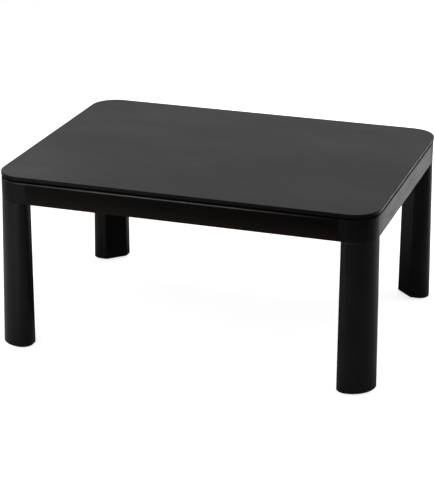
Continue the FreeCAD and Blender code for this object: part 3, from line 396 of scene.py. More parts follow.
@dataclass(frozen=True)
class Bumps(Noise):
    """Noise that stands out from the surface.

    Attributes:
        depth: how far its highest places stand over its lowest.
    """

    depth: float = 0.0

    def normal(self, shader: Shader, below: Socket | None = None, grain: Axis = Axis.X) -> Socket:
        """Draw the bumps, on a coarser bump if one is given."""
        return shader.relief(self.value(shader, grain), self.depth, below)


@dataclass(frozen=True)
class Finish(ABC):
    """Finish of one or more pieces. A subclass draws its nodes.

    Attributes:
        name: name of the material.
        color: its main colour, linear.
        second: the colour that it strays to.
        roughness: lowest and highest roughness.
        specular: strength of its reflections.
    """

    name: str
    color: Color
    second: Color
    roughness: tuple[float, float]
    specular: float = 0.5

    @abstractmethod
    def draw(self, shader: Shader) -> None:
        """Draw the finish in a material's node tree."""

    def material(self) -> bpy.types.Material:
        """Make a material of the finish.

        Returns:
            The new material.
        """
        shader = Shader(self.name)
        shader.set(specular_ior_level=self.specular)
        self.draw(shader)
        return shader.material

    def toned(self, shader: Shader, share: Socket) -> Socket:
        """Colour at a share of the way from the main one to the second."""
        return shader.mixed(share, self.color, self.second)

    def matte(self, shader: Shader, share: Socket) -> Socket:
        """Roughness at a share of the way from the lowest to the highest."""
        return shader.ranged(share, 0.0, 1.0, *self.roughness)

    def stray(self, shader: Shader, share: Socket) -> None:
        """Let colour and roughness stray together."""
        shader.set(base_color=self.toned(shader, share), roughness=self.matte(shader, share))


@dataclass(frozen=True)
class Polish:
    """Line that cloths have rubbed to a polish, most of all left of the middle.

    Attributes:
        level: height of the middle of the line.
        reach: distance at which it has faded out.
        share: how far it is polished.
        roughness: roughness of the polished skin.
        left_share: share of the polish that is left at the far left.
        rise: places along X between which the line comes up.
        fade: places along X between which it fades away.
        patches: patches outside which it is thinner.
    """

    level: float
    reach: float
    share: float
    roughness: float = 0.22
    left_share: float = 0.3
    rise: tuple[float, float] = (-0.38, -0.16)
    fade: tuple[float, float] = (0.10, 0.33)
    patches: Patches = Patches(30.0 * MILLIMETRE, detail=3.0, start=0.25, stop=0.6, low=0.6)

    def draw(self, shader: Shader) -> None:
        """Lay the polish over the rest of the finish.

        Args:
            shader: the node tree to draw in.
        """
        rising = shader.ranged(shader.level(Axis.X), *self.rise, self.left_share, 1.0)
        fading = shader.ranged(shader.level(Axis.X), *self.fade, self.share, 0.0)
        kept = shader.math("MULTIPLY", rising, fading)
        band = shader.math("MULTIPLY", shader.near(Axis.Z, self.level, self.reach), kept)
        shader.set(coat_weight=shader.math("MULTIPLY", band, self.patches.mask(shader)),
                   coat_roughness=self.roughness)


@dataclass(frozen=True)
class Dust:
    """Fine dust that lies in the groove between two pieces and takes their gloss.

    Attributes:
        level: height at which it lies thickest.
        reach: distance at which it ends.
        roughness: roughness where it lies thickest.
        full: share of the way in from its end at which it is thickest.
    """

    level: float
    reach: float
    roughness: float = 0.95
    full: float = 0.4

    def over(self, shader: Shader, matte: Socket) -> Socket:
        """Roughness of a skin with the dust on it."""
        lying = shader.near(Axis.Z, self.level, self.reach)
        return shader.math("MAXIMUM", matte, shader.ranged(lying, 0.0, self.full, 0.0, self.roughness))


@dataclass(frozen=True)
class SatinLaminate(Finish):
    """Pressed laminate sheet with a fine pebbled skin, soft wipe marks and a few hairlines.

    Attributes:
        wipes: soft marks that wiping leaves.
        hairline: scratches in one direction.
        hairline_turns: directions of the scratches, in degrees about Z.
        hairline_gloss: roughness that a scratch takes away.
        pebble: width of a pebble of the skin.
        pebble_depth: how far the pebbles stand out.
        peel: slow waves of the pressed skin.
    """

    specular: float = 0.3
    wipes: Patches = Patches(140.0 * MILLIMETRE, detail=5.0, roughness=0.6, stretch=0.5, turn=20.0)
    hairline: Patches = Patches(1.2 * MILLIMETRE, detail=1.0, stretch=0.02, start=0.74, stop=0.79)
    hairline_turns: tuple[float, ...] = (12.0, 75.0, 140.0)
    hairline_gloss: float = 0.12
    pebble: float = 0.7 * MILLIMETRE
    pebble_depth: float = 0.012 * MILLIMETRE
    peel: Bumps = Bumps(9.0 * MILLIMETRE, detail=2.0, depth=0.01 * MILLIMETRE)

    def draw(self, shader: Shader) -> None:
        """Draw the laminate.

        Args:
            shader: the node tree to draw in.
        """
        share = self.wipes.mask(shader)
        hairlines = [replace(self.hairline, turn=turn) for turn in self.hairline_turns]
        scratches = shader.highest(hairline.mask(shader) for hairline in hairlines)
        gloss = shader.math("MULTIPLY", scratches, self.hairline_gloss)
        pebbles = shader.cells(self.pebble, "Distance")
        shader.set(base_color=self.toned(shader, share),
                   roughness=shader.math("SUBTRACT", self.matte(shader, share), gloss),
                   normal=shader.relief(pebbles, self.pebble_depth, self.peel.normal(shader)))


@dataclass(frozen=True)
class HandledFinish(Finish):
    """Finish of an outer piece: its edges are rubbed, and it may have a polished line and dust.

    Attributes:
        edge_levels: heights of the rubbed edges.
        edge_reach: distance from an edge at which the rubbing ends.
        worn: patches in which the edges are rubbed.
        bare_gain: how many times brighter than the second colour a rubbed or scuffed place is.
        polish: the polished line.
        dust: the dust in the groove beside the piece.
    """

    specular: float = 0.3
    edge_levels: tuple[float, ...] = ()
    edge_reach: float = 1.6 * MILLIMETRE
    worn: Patches = Patches(14.0 * MILLIMETRE, detail=4.0, start=0.42, stop=0.66)
    bare_gain: float = 2.2
    polish: Polish | None = None
    dust: Dust | None = None

    def rubbed(self, shader: Shader) -> Socket:
        """Mask of the rubbed edges."""
        edges = shader.highest(shader.near(Axis.Z, level, self.edge_reach) for level in self.edge_levels)
        return shader.math("MULTIPLY", self.worn.mask(shader), edges)

    def skin(self, shader: Shader, color: Socket, matte: Socket, marks: Socket) -> None:
        """Put the skin together.

        Args:
            shader: the node tree to draw in.
            color: colour of the unmarked skin.
            matte: roughness of the clean skin.
            marks: mask of the rubbed and scuffed places.
        """
        if self.dust:
            matte = self.dust.over(shader, matte)
        if self.polish:
            self.polish.draw(shader)
        bare = scaled(self.second, self.bare_gain)
        shader.set(base_color=shader.mixed(marks, color, bare), roughness=matte)


@dataclass(frozen=True)
class GrainedFoil(HandledFinish):
    """Foil printed and pressed with a fine wood grain, wrapped round a board.

    Attributes:
        grain: direction of the printed grain.
        streaks: paler streaks of the print.
        fibres: fine pressed fibres.
        pores: dark pressed pores.
        pore_share: how far a pore takes the paler colour away.
        pore_depth: how deep the pores are.
        matte_span: sums of streak and fibre that have the lowest and the highest roughness.
        rubbed_gloss: roughness that rubbing takes away.
        painted_reflection: heights between which a painted reflection of the floor lightens the foil less
            and less.
        painted_reflection_share: how strong that painted reflection is at the lower one.
        painted_reflection_gain: how many times brighter than the second colour the painted reflection is.
        speckle: coarse relief that scatters the light, if the foil has one.
    """

    grain: Axis = Axis.X
    streaks: Patches = Patches(2.6 * MILLIMETRE, detail=5.0, roughness=0.65, stretch=0.03,
                               start=0.32, stop=0.68)
    fibres: Noise = Noise(0.5 * MILLIMETRE, detail=2.0, stretch=0.06)
    pores: Patches = Patches(0.9 * MILLIMETRE, detail=1.0, stretch=0.12, start=0.62, stop=0.7)
    pore_share: float = 0.6
    pore_depth: float = 0.02 * MILLIMETRE
    matte_span: tuple[float, float] = (0.2, 1.5)
    rubbed_gloss: float = 0.1
    painted_reflection: tuple[float, float] = (-1.0, 0.0)
    painted_reflection_share: float = 0.8
    painted_reflection_gain: float = 5.0
    speckle: Bumps | None = None

    def draw(self, shader: Shader) -> None:
        """Draw the foil.

        Args:
            shader: the node tree to draw in.
        """
        fibres = self.fibres.value(shader, self.grain)
        pores = self.pores.mask(shader, self.grain)
        share = shader.math("SUBTRACT", self.streaks.mask(shader, self.grain),
                            shader.math("MULTIPLY", pores, self.pore_share))
        # painted reflection of the floor: the foil's colour is lighter towards its lower edge
        painted_reflection = shader.ranged(shader.level(Axis.Z), *self.painted_reflection, self.painted_reflection_share, 0.0)
        color = shader.mixed(painted_reflection, self.toned(shader, share), scaled(self.second, self.painted_reflection_gain))
        rubbed = self.rubbed(shader)
        matte = shader.ranged(shader.math("ADD", share, fibres), *self.matte_span, *self.roughness)
        gloss = shader.math("MULTIPLY", rubbed, self.rubbed_gloss)
        self.skin(shader, color, shader.math("SUBTRACT", matte, gloss), rubbed)
        normal = shader.relief(shader.math("SUBTRACT", fibres, pores), self.pore_depth)
        if self.speckle:
            normal = self.speckle.normal(shader, normal, self.grain)
        shader.set(normal=normal)


@dataclass(frozen=True)
class MouldedPlastic(HandledFinish):
    """Injection moulded plastic with a spark-eroded texture, slow ripples and rubbed or scuffed levels.

    Attributes:
        patches: patches in which colour and roughness stray.
        texture: the spark-eroded texture.
        ripples: slow sink marks that run up and down.
        scuffs: short upright scuffs.
        scuff_level: height at which the scuffs are strongest.
        scuff_reach: distance at which they end, or 0 for none.
        mark_matte: roughness that a rubbed or scuffed place gains.
    """

    edge_reach: float = 1.5 * MILLIMETRE
    worn: Patches = Patches(11.0 * MILLIMETRE, detail=4.0, start=0.4, stop=0.65)
    bare_gain: float = 3.0
    patches: Patches = Patches(55.0 * MILLIMETRE, detail=4.0)
    texture: Bumps = Bumps(0.45 * MILLIMETRE, detail=2.0, depth=0.006 * MILLIMETRE)
    ripples: Bumps = Bumps(30.0 * MILLIMETRE, detail=1.0, stretch=0.35, depth=0.05 * MILLIMETRE)
    scuffs: Patches = Patches(2.2 * MILLIMETRE, detail=3.0, stretch=0.25, start=0.6, stop=0.72)
    scuff_level: float = 0.0
    scuff_reach: float = 0.0
    mark_matte: float = 0.12

    def draw(self, shader: Shader) -> None:
        """Draw the plastic.

        Args:
            shader: the node tree to draw in.
        """
        share = self.patches.mask(shader)
        marks = self.rubbed(shader)
        if self.scuff_reach > 0.0:
            zone = shader.near(Axis.Z, self.scuff_level, self.scuff_reach)
            scuffed = shader.math("MULTIPLY", zone, self.scuffs.mask(shader, Axis.Z))
            marks = shader.math("MAXIMUM", marks, scuffed)
        gained = shader.math("MULTIPLY", marks, self.mark_matte)
        matte = shader.math("ADD", self.matte(shader, share), gained)
        self.skin(shader, self.toned(shader, share), matte, marks)
        shader.set(normal=self.texture.normal(shader, self.ripples.normal(shader, grain=Axis.Z)))


@dataclass(frozen=True)
class ExtrudedStrip(HandledFinish):
    """Extruded plastic edge strip, with die lines that run round the edge.

    Attributes:
        patches: patches in which colour and roughness stray.
        die_line: height of a die line.
        die_detail: number of finer octaves in the lines.
        die_stretch: scale of the lines on each axis.
        die_depth: how far the lines stand out.
    """

    worn: Patches = Patches(7.0 * MILLIMETRE, detail=3.0, start=0.58, stop=0.7)
    bare_gain: float = 2.5
    patches: Patches = Patches(40.0 * MILLIMETRE, detail=4.0)
    die_line: float = 0.8 * MILLIMETRE
    die_detail: float = 2.0
    die_stretch: Place = (0.01, 0.01, 1.0)
    die_depth: float = 0.006 * MILLIMETRE

    def draw(self, shader: Shader) -> None:
        """Draw the strip.

        Args:
            shader: the node tree to draw in.
        """
        share = self.patches.mask(shader)
        self.skin(shader, self.toned(shader, share), self.matte(shader, share), self.rubbed(shader))
        lines = shader.noise(shader.stretched(self.die_stretch), self.die_line, self.die_detail)
        shader.set(normal=shader.relief(lines, self.die_depth))


@dataclass(frozen=True)
class PlanedWood(Finish):
    """Planed softwood with growth rings, fibres and a few dark streaks.

    Attributes:
        grain: direction of the grain.
        ring: width of a growth ring.
        ring_stretch: scale of the rings along the grain.
        ring_bend: how far the rings wander.
        ring_detail: number of finer octaves in that.
        ring_detail_scale: scale of that.
        fibres: fine fibres, which also break up the rings.
        fibre_depth: how far the fibres stand out.
        streaks: dark streaks.
        streak_gain: brightness of a streak as a share of the second colour.
    """

    grain: Axis = Axis.Y
    ring: float = 3.2 * MILLIMETRE
    ring_stretch: float = 0.05
    ring_bend: float = 6.0
    ring_detail: float = 3.0
    ring_detail_scale: float = 0.8
    fibres: Patches = Patches(0.35 * MILLIMETRE, detail=3.0, stretch=0.05, start=0.2, stop=0.8, low=0.6)
    fibre_depth: float = 0.05 * MILLIMETRE
    streaks: Patches = Patches(6.0 * MILLIMETRE, detail=4.0, stretch=0.05, start=0.6, stop=0.75)
    streak_gain: float = 0.7

    def draw(self, shader: Shader) -> None:
        """Draw the wood.

        Args:
            shader: the node tree to draw in.
        """
        rings = shader.waves(shader.along(self.grain, self.ring_stretch), self.ring)
        rings.wave_type = "RINGS"
        rings.rings_direction = self.grain.name
        rings.wave_profile = "SAW"
        shader.fill(rings, distortion=self.ring_bend, detail=self.ring_detail,
                    detail_scale=self.ring_detail_scale)
        fibres = self.fibres.value(shader, self.grain)
        share = shader.math("MULTIPLY", rings.outputs["Fac"], self.fibres.held(shader, fibres))
        streaks = self.streaks.mask(shader, self.grain)
        dark = scaled(self.second, self.streak_gain)
        shader.set(base_color=shader.mixed(streaks, self.toned(shader, share), dark),
                   roughness=self.matte(shader, share), normal=shader.relief(fibres, self.fibre_depth))


@dataclass(frozen=True)
class PressedFibre(Finish):
    """Pressed fibres: raw board, or an insulation mat.

    Attributes:
        fibre: fibres in one direction.
        fibre_turns: directions of the fibres, in degrees about Z.
        fibre_depth: how far the fibres stand out.
        clumps: clumps of fibres.
        share_span: sums of fibre and clump that have the main and the second colour.
    """

    fibre: Noise = Noise(1.4 * MILLIMETRE, detail=3.0, stretch=0.15)
    fibre_turns: tuple[float, ...] = (0.0, 55.0, 115.0)
    fibre_depth: float = 0.15 * MILLIMETRE
    clumps: Noise = Noise(9.0 * MILLIMETRE, detail=4.0)
    share_span: tuple[float, float] = (0.8, 1.4)

    def draw(self, shader: Shader) -> None:
        """Draw the fibres.

        Args:
            shader: the node tree to draw in.
        """
        fibres = shader.highest(replace(self.fibre, turn=turn).value(shader) for turn in self.fibre_turns)
        total = shader.math("ADD", fibres, self.clumps.value(shader))
        self.stray(shader, shader.ranged(total, *self.share_span))
        shader.set(normal=shader.relief(fibres, self.fibre_depth))


@dataclass(frozen=True)
class Rubber(Finish):
    """Soft rubber with a bloom of dust and a fine pitted skin.

    Attributes:
        bloom: the bloom of dust.
        pits: the pits of the skin.
        sheen: strength of the soft sheen.
    """

    bloom: Patches = Patches(6.0 * MILLIMETRE, detail=5.0, start=0.4, stop=0.7)
    pits: Bumps = Bumps(0.5 * MILLIMETRE, detail=2.0, depth=0.03 * MILLIMETRE)
    sheen: float = 0.1

    def draw(self, shader: Shader) -> None:
        """Draw the rubber."""
        self.stray(shader, self.bloom.mask(shader))
        shader.set(normal=self.pits.normal(shader), sheen_weight=self.sheen)


@dataclass(frozen=True)
class PlatedMetal(Finish):
    """Plated or galvanised steel: crystal patches, rolling lines and dull spots.

    Attributes:
        spangle: width of a crystal patch.
        dull: dull spots, sized in crystal patches.
        weight: weight of crystal and dull spot in their sum.
        lines: lines of the rolling.
    """

    spangle: float = 6.0 * MILLIMETRE
    dull: Patches = Patches(4.0, detail=5.0, start=0.35, stop=0.7)
    weight: float = 0.5
    lines: Bumps = Bumps(0.4 * MILLIMETRE, detail=2.0, stretch=0.04, depth=0.008 * MILLIMETRE)

    def draw(self, shader: Shader) -> None:
        """Draw the plating.

        Args:
            shader: the node tree to draw in.
        """
        split = shader.nodes.new("ShaderNodeSeparateColor")
        shader.fill(split, color=shader.cells(self.spangle, "Color"))
        dull = replace(self.dull, size=self.dull.size * self.spangle).mask(shader)
        total = shader.math("ADD", split.outputs["Red"], dull)
        self.stray(shader, shader.math("MULTIPLY", total, self.weight))
        shader.set(metallic=1.0, normal=self.lines.normal(shader))


@dataclass(frozen=True)
class BrightSheet(Finish):
    """Bright rolled aluminium, with a straw tint where the tubes heat it.

    Attributes:
        lines: lines of the rolling.
        line_depth: how far the lines stand out.
        smudges: smudges that dull the sheet and take the tint.
        tint: the straw tint.
        tint_share: how far the sheet takes it.
        tint_reach: distance from a tube at which it ends.
        tube_offset: place of the tubes along Y, on either side of the middle.
    """

    lines: Noise = Noise(0.3 * MILLIMETRE, detail=3.0, stretch=0.02)
    line_depth: float = 0.01 * MILLIMETRE
    smudges: Patches = Patches(24.0 * MILLIMETRE, detail=5.0, start=0.35, stop=0.7)
    tint: Color = (0.78, 0.66, 0.42)
    tint_share: float = 0.5
    tint_reach: float = 0.03
    tube_offset: float = 0.0

    def draw(self, shader: Shader) -> None:
        """Draw the sheet.

        Args:
            shader: the node tree to draw in.
        """
        lines = self.lines.value(shader)
        smudges = self.smudges.mask(shader)
        off_tube = shader.off(shader.math("ABSOLUTE", shader.level(Axis.Y)), self.tube_offset)
        heated = shader.ranged(off_tube, 0.0, self.tint_reach, self.tint_share, 0.0)
        tinted = shader.math("MULTIPLY", heated, smudges)
        shader.set(base_color=shader.mixed(tinted, self.toned(shader, lines), self.tint), metallic=1.0,
                   roughness=self.matte(shader, smudges), normal=shader.relief(lines, self.line_depth))


@dataclass(frozen=True)
class MilkyQuartz(Finish):
    """Satin quartz glass with fine drawing lines along the tube.

    Attributes:
        lines: the drawing lines.
        line_depth: how far they stand out.
        ior: how strongly the glass bends light.
        clearness: share of the light that it lets through.
    """

    lines: Patches = Patches(0.5 * MILLIMETRE, detail=3.0, stretch=0.02)
    line_depth: float = 0.01 * MILLIMETRE
    ior: float = 1.46
    clearness: float = 0.85

    def draw(self, shader: Shader) -> None:
        """Draw the glass.

        Args:
            shader: the node tree to draw in.
        """
        lines = self.lines.value(shader)
        self.stray(shader, self.lines.held(shader, lines))
        shader.set(ior=self.ior, transmission_weight=self.clearness,
                   normal=shader.relief(lines, self.line_depth))


@dataclass(frozen=True)
class Ceramic(Finish):
    """Unglazed ceramic with a sandy bite and warm stains.

    Attributes:
        stains: the stains.
        sand: the sandy skin.
    """

    stains: Patches = Patches(7.0 * MILLIMETRE, detail=5.0, start=0.4, stop=0.75)
    sand: Bumps = Bumps(0.6 * MILLIMETRE, detail=3.0, depth=0.04 * MILLIMETRE)

    def draw(self, shader: Shader) -> None:
        """Draw the ceramic."""
        self.stray(shader, self.stains.mask(shader))
        shader.set(normal=self.sand.normal(shader))


@dataclass(frozen=True)
class BraidedSleeve(Finish):
    """Braided glass-fibre sleeve of a lead.

    Attributes:
        strand: width of a strand.
        strand_turns: directions of the strands, in degrees about Z.
        strand_depth: how far the strands stand out.
        soil: soiled patches.
    """

    strand: float = 0.5 * MILLIMETRE
    strand_turns: tuple[float, ...] = (45.0, -45.0)
    strand_depth: float = 0.12 * MILLIMETRE
    soil: Patches = Patches(12.0 * MILLIMETRE, detail=3.0, start=0.4, stop=0.8)

    def draw(self, shader: Shader) -> None:
        """Draw the sleeve.

        Args:
            shader: the node tree to draw in.
        """
        places = [shader.along(Axis.X, 1.0, turn) for turn in self.strand_turns]
        strands = shader.highest(shader.waves(place, self.strand).outputs["Fac"] for place in places)
        self.stray(shader, self.soil.mask(shader))
        shader.set(normal=shader.relief(strands, self.strand_depth))


@dataclass(frozen=True)
class FlockedSheet(Finish):
    """Punched sheet with a short flocked coating.

    Attributes:
        nap: patches in which the coating lies another way.
        pile: the pile of the coating.
        sheen: strength of its soft sheen.
        sheen_roughness: how wide the sheen spreads.
    """

    specular: float = 0.2
    nap: Patches = Patches(16.0 * MILLIMETRE, detail=4.0, start=0.35, stop=0.65)
    pile: Bumps = Bumps(0.35 * MILLIMETRE, detail=3.0, roughness=0.7, depth=0.12 * MILLIMETRE)
    sheen: float = 0.35
    sheen_roughness: float = 0.45

    def draw(self, shader: Shader) -> None:
        """Draw the coating.

        Args:
            shader: the node tree to draw in.
        """
        self.stray(shader, self.nap.mask(shader))
        shader.set(sheen_weight=self.sheen, sheen_roughness=self.sheen_roughness,
                   normal=self.pile.normal(shader))


def at_corners(stem: str) -> tuple[str, ...]:
    """Names of the four pieces that a stem has, one at each corner."""
    return tuple(f"{stem}_{corner}" for corner in CORNERS)


def dress(finish: Finish, *nodes: str) -> None:
    """Give a finish to pieces of the frame.

    Args:
        finish: the finish to give.
        nodes: names of the pieces.
    """
    material = finish.material()
    for name in nodes:
        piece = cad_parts[name]
        if not piece.material_slots:
            piece.data.materials.append(material)
        for slot in piece.material_slots:
            slot.material = material
        LOG.info("%s wears %s", name, finish.name)


def wire_mesh(path: list[Vector], radius: float, sides: int) -> bmesh.types.BMesh:
    """Closed tube along a path, with flat ends.

    Args:
        path: points of its centre line.
        radius: radius of the tube.
        sides: number of sides.

    Returns:
        The tube as a mesh.
    """
    mesh = bmesh.new()
    rings = []
    angles = [2.0 * math.pi * step / sides for step in range(sides)]
    heading = (path[1] - path[0]).normalized()
    out = heading.orthogonal().normalized()
    for index, point in enumerate(path):
        before = path[max(index - 1, 0)]
        after = path[min(index + 1, len(path) - 1)]
        turned = (after - before).normalized()
        out = heading.rotation_difference(turned) @ out
        out = (out - turned * out.dot(turned)).normalized()
        heading = turned
        side = heading.cross(out)
        spokes = [math.cos(angle) * out + math.sin(angle) * side for angle in angles]
        rings.append([mesh.verts.new(point + radius * spoke) for spoke in spokes])
    for first, second in zip(rings, rings[1:]):
        for step in range(sides):
            following = (step + 1) % sides
            mesh.faces.new((first[step], first[following], second[following], second[step]))
    mesh.faces.new(rings[0][::-1])
    mesh.faces.new(rings[-1])
    return mesh


@dataclass
class TableTop:
    """Loose top: board, sheets on both faces and a strip round the edge.

    Attributes:
        dust_reach: how far up the strip the dust of the groove under it reaches.
        face: finish of the upper face.
        underside: finish of the lower face.
        core: finish of the board.
    """

    dust_reach: float = 3.2 * MILLIMETRE
    face: Finish = SatinLaminate("top_laminate", color=(0.0054, 0.0052, 0.0050),
                                 second=(0.0078, 0.0075, 0.0073), roughness=(0.44, 0.52), specular=0.093)
    underside: Finish = SatinLaminate("underside_laminate", color=(0.020, 0.0185, 0.0175),
                                      second=(0.028, 0.026, 0.0245), roughness=(0.6, 0.72),
                                      wipes=Patches(90.0 * MILLIMETRE, detail=5.0, roughness=0.6,
                                                    stretch=0.5, turn=20.0))
    core: Finish = PressedFibre("core_board", color=(0.42, 0.30, 0.19), second=(0.52, 0.40, 0.27),
                                roughness=(0.85, 0.95))

    def build(self) -> None:
        """Dress the four layers."""
        dress(self.face, "top_face_sheet")
        dress(self.underside, "underside_sheet")
        dress(self.core, "top_board")
        low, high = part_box("top_edge_band")
        strip = ExtrudedStrip("edge_strip", color=(0.0009, 0.0009, 0.0011), second=(0.0017, 0.0017, 0.0020),
                              roughness=(0.3, 0.4), specular=0.045, edge_levels=(high.z,),
                              dust=Dust(low.z, self.dust_reach))
        dress(strip, "top_edge_band")


@dataclass
class TableFrame:
    """Rails, corner blocks, crossbars and what fastens them.

    Attributes:
        line_drop: how far under the upper edge the polished line runs.
        line_reach: distance from its middle at which it has faded out.
        line_share: how far it is polished.
        dust_reach: how far down the long rails and corner blocks the dust of the groove reaches.
        side_dust_reach: how far down the short rails it reaches.
        painted_reflection_reach: how far up from their lower edge a painted reflection of the floor lightens
            the rails.
        foil_color: main colour of the rails.
        foil_second: the colour that it strays to.
        corner: main colour of the corner blocks.
        corner_second: the colour that it strays to.
    """

    line_drop: float = 3.3 * MILLIMETRE
    line_reach: float = 2.1 * MILLIMETRE
    line_share: float = 0.75
    dust_reach: float = 2.4 * MILLIMETRE
    side_dust_reach: float = 4.6 * MILLIMETRE
    painted_reflection_reach: float = 0.03
    foil_color: Color = (0.0006, 0.0004, 0.0003)
    foil_second: Color = (0.0014, 0.0009, 0.0007)
    corner: Color = (0.0012, 0.0011, 0.0010)
    corner_second: Color = (0.0022, 0.0020, 0.0019)

    def build_outside(self) -> None:
        """Dress rails and corner blocks."""
        low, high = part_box("front_rail")
        levels = (low.z, high.z)
        # painted reflection of the floor: the rails' colour is lighter towards their lower edge
        painted_reflection = (low.z, low.z + self.painted_reflection_reach)
        line = Polish(high.z - self.line_drop, self.line_reach, self.line_share)
        dust = Dust(high.z, self.dust_reach)
        long_foil = GrainedFoil("rail_foil_x", color=self.foil_color, second=self.foil_second,
                                roughness=(0.30, 0.42), specular=0.026, edge_levels=levels, painted_reflection=painted_reflection,
                                polish=line, dust=dust)
        dress(long_foil, "front_rail", "back_rail")
        speckle = Bumps(3.6 * MILLIMETRE, detail=3.0, roughness=0.7, stretch=0.25, depth=0.3 * MILLIMETRE)
        short_foil = GrainedFoil("rail_foil_y", color=self.foil_color, second=self.foil_second,
                                 roughness=(0.24, 0.46), specular=0.1, edge_levels=(low.z,),
                                 dust=Dust(high.z, self.side_dust_reach), grain=Axis.Y,
                                 pore_depth=0.04 * MILLIMETRE, painted_reflection=painted_reflection, speckle=speckle)
        dress(short_foil, "left_rail", "right_rail")
        block = MouldedPlastic("moulded_corner", color=self.corner, second=self.corner_second,
                               roughness=(0.34, 0.44), specular=0.05, edge_levels=levels, polish=line,
                               dust=dust)
        dress(block, *at_corners("corner_block"))

    def build_inside(self) -> None:
        """Dress pads, crossbars and fasteners."""
        dress(Rubber("pad_rubber", color=(0.018, 0.018, 0.018), second=(0.04, 0.04, 0.038),
                     roughness=(0.75, 0.9)), "anti_slip_pads")
        dress(PlanedWood("bar_wood", color=(0.50, 0.36, 0.21), second=(0.34, 0.21, 0.11),
                         roughness=(0.6, 0.75)), "left_crossbar", "right_crossbar")
        zinc = PlatedMetal("zinc_steel", color=(0.62, 0.63, 0.64), second=(0.5, 0.51, 0.53),
                           roughness=(0.28, 0.42), spangle=3.0 * MILLIMETRE)
        dress(zinc, "crossbar_brackets", "leg_bolts", "leg_bolt_washers", "leg_inserts")
        screws = PlatedMetal("screw_steel", color=(0.62, 0.56, 0.42), second=(0.5, 0.47, 0.38),
                             roughness=(0.25, 0.4), spangle=2.0 * MILLIMETRE)
        dress(screws, "rail_screws", "bracket_screws", "heater_screws", "guard_screws")

    def build(self) -> None:
        """Dress every piece of the frame."""
        self.build_outside()
        self.build_inside()


@dataclass
class Legs:
    """Four moulded legs with their foot caps and glides.

    Attributes:
        color: main colour of a leg.
        second: the colour that it strays to.
        scuff_reach: how far up a leg the scuffs reach.
        glide_scuff_reach: how far up a glide they reach.
        line_drop: how far under the top of a leg the polished line runs.
        line_reach: distance from its middle at which it has faded out.
        line_share: how far it is polished.
        line_fade: places along X between which it fades away.
    """

    color: Color = (0.0007, 0.0006, 0.0006)
    second: Color = (0.0014, 0.0013, 0.0012)
    scuff_reach: float = 0.05
    glide_scuff_reach: float = 0.003
    line_drop: float = 1.5 * MILLIMETRE
    line_reach: float = 2.5 * MILLIMETRE
    line_share: float = 0.3
    line_fade: tuple[float, float] = (0.2, 0.6)

    def build(self) -> None:
        """Dress legs, caps and glides."""
        low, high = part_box("leg_front_left")
        line = Polish(high.z - self.line_drop, self.line_reach, self.line_share, fade=self.line_fade)
        leg = MouldedPlastic("moulded_leg", color=self.color, second=self.second, roughness=(0.36, 0.46),
                             specular=0.08, scuff_level=low.z, scuff_reach=self.scuff_reach,
                             edge_levels=(low.z, high.z), polish=line)
        dress(leg, *at_corners("leg"))
        cap = MouldedPlastic("foot_plastic", color=(0.009, 0.009, 0.009), second=(0.013, 0.013, 0.013),
                             roughness=(0.5, 0.62), specular=0.2)
        dress(cap, *at_corners("foot_cap"))
        glide = MouldedPlastic("glide_plastic", color=(0.013, 0.013, 0.013), second=(0.02, 0.02, 0.02),
                               roughness=(0.45, 0.6), specular=0.25, scuff_level=0.0,
                               scuff_reach=self.glide_scuff_reach)
        dress(glide, *at_corners("glide"))


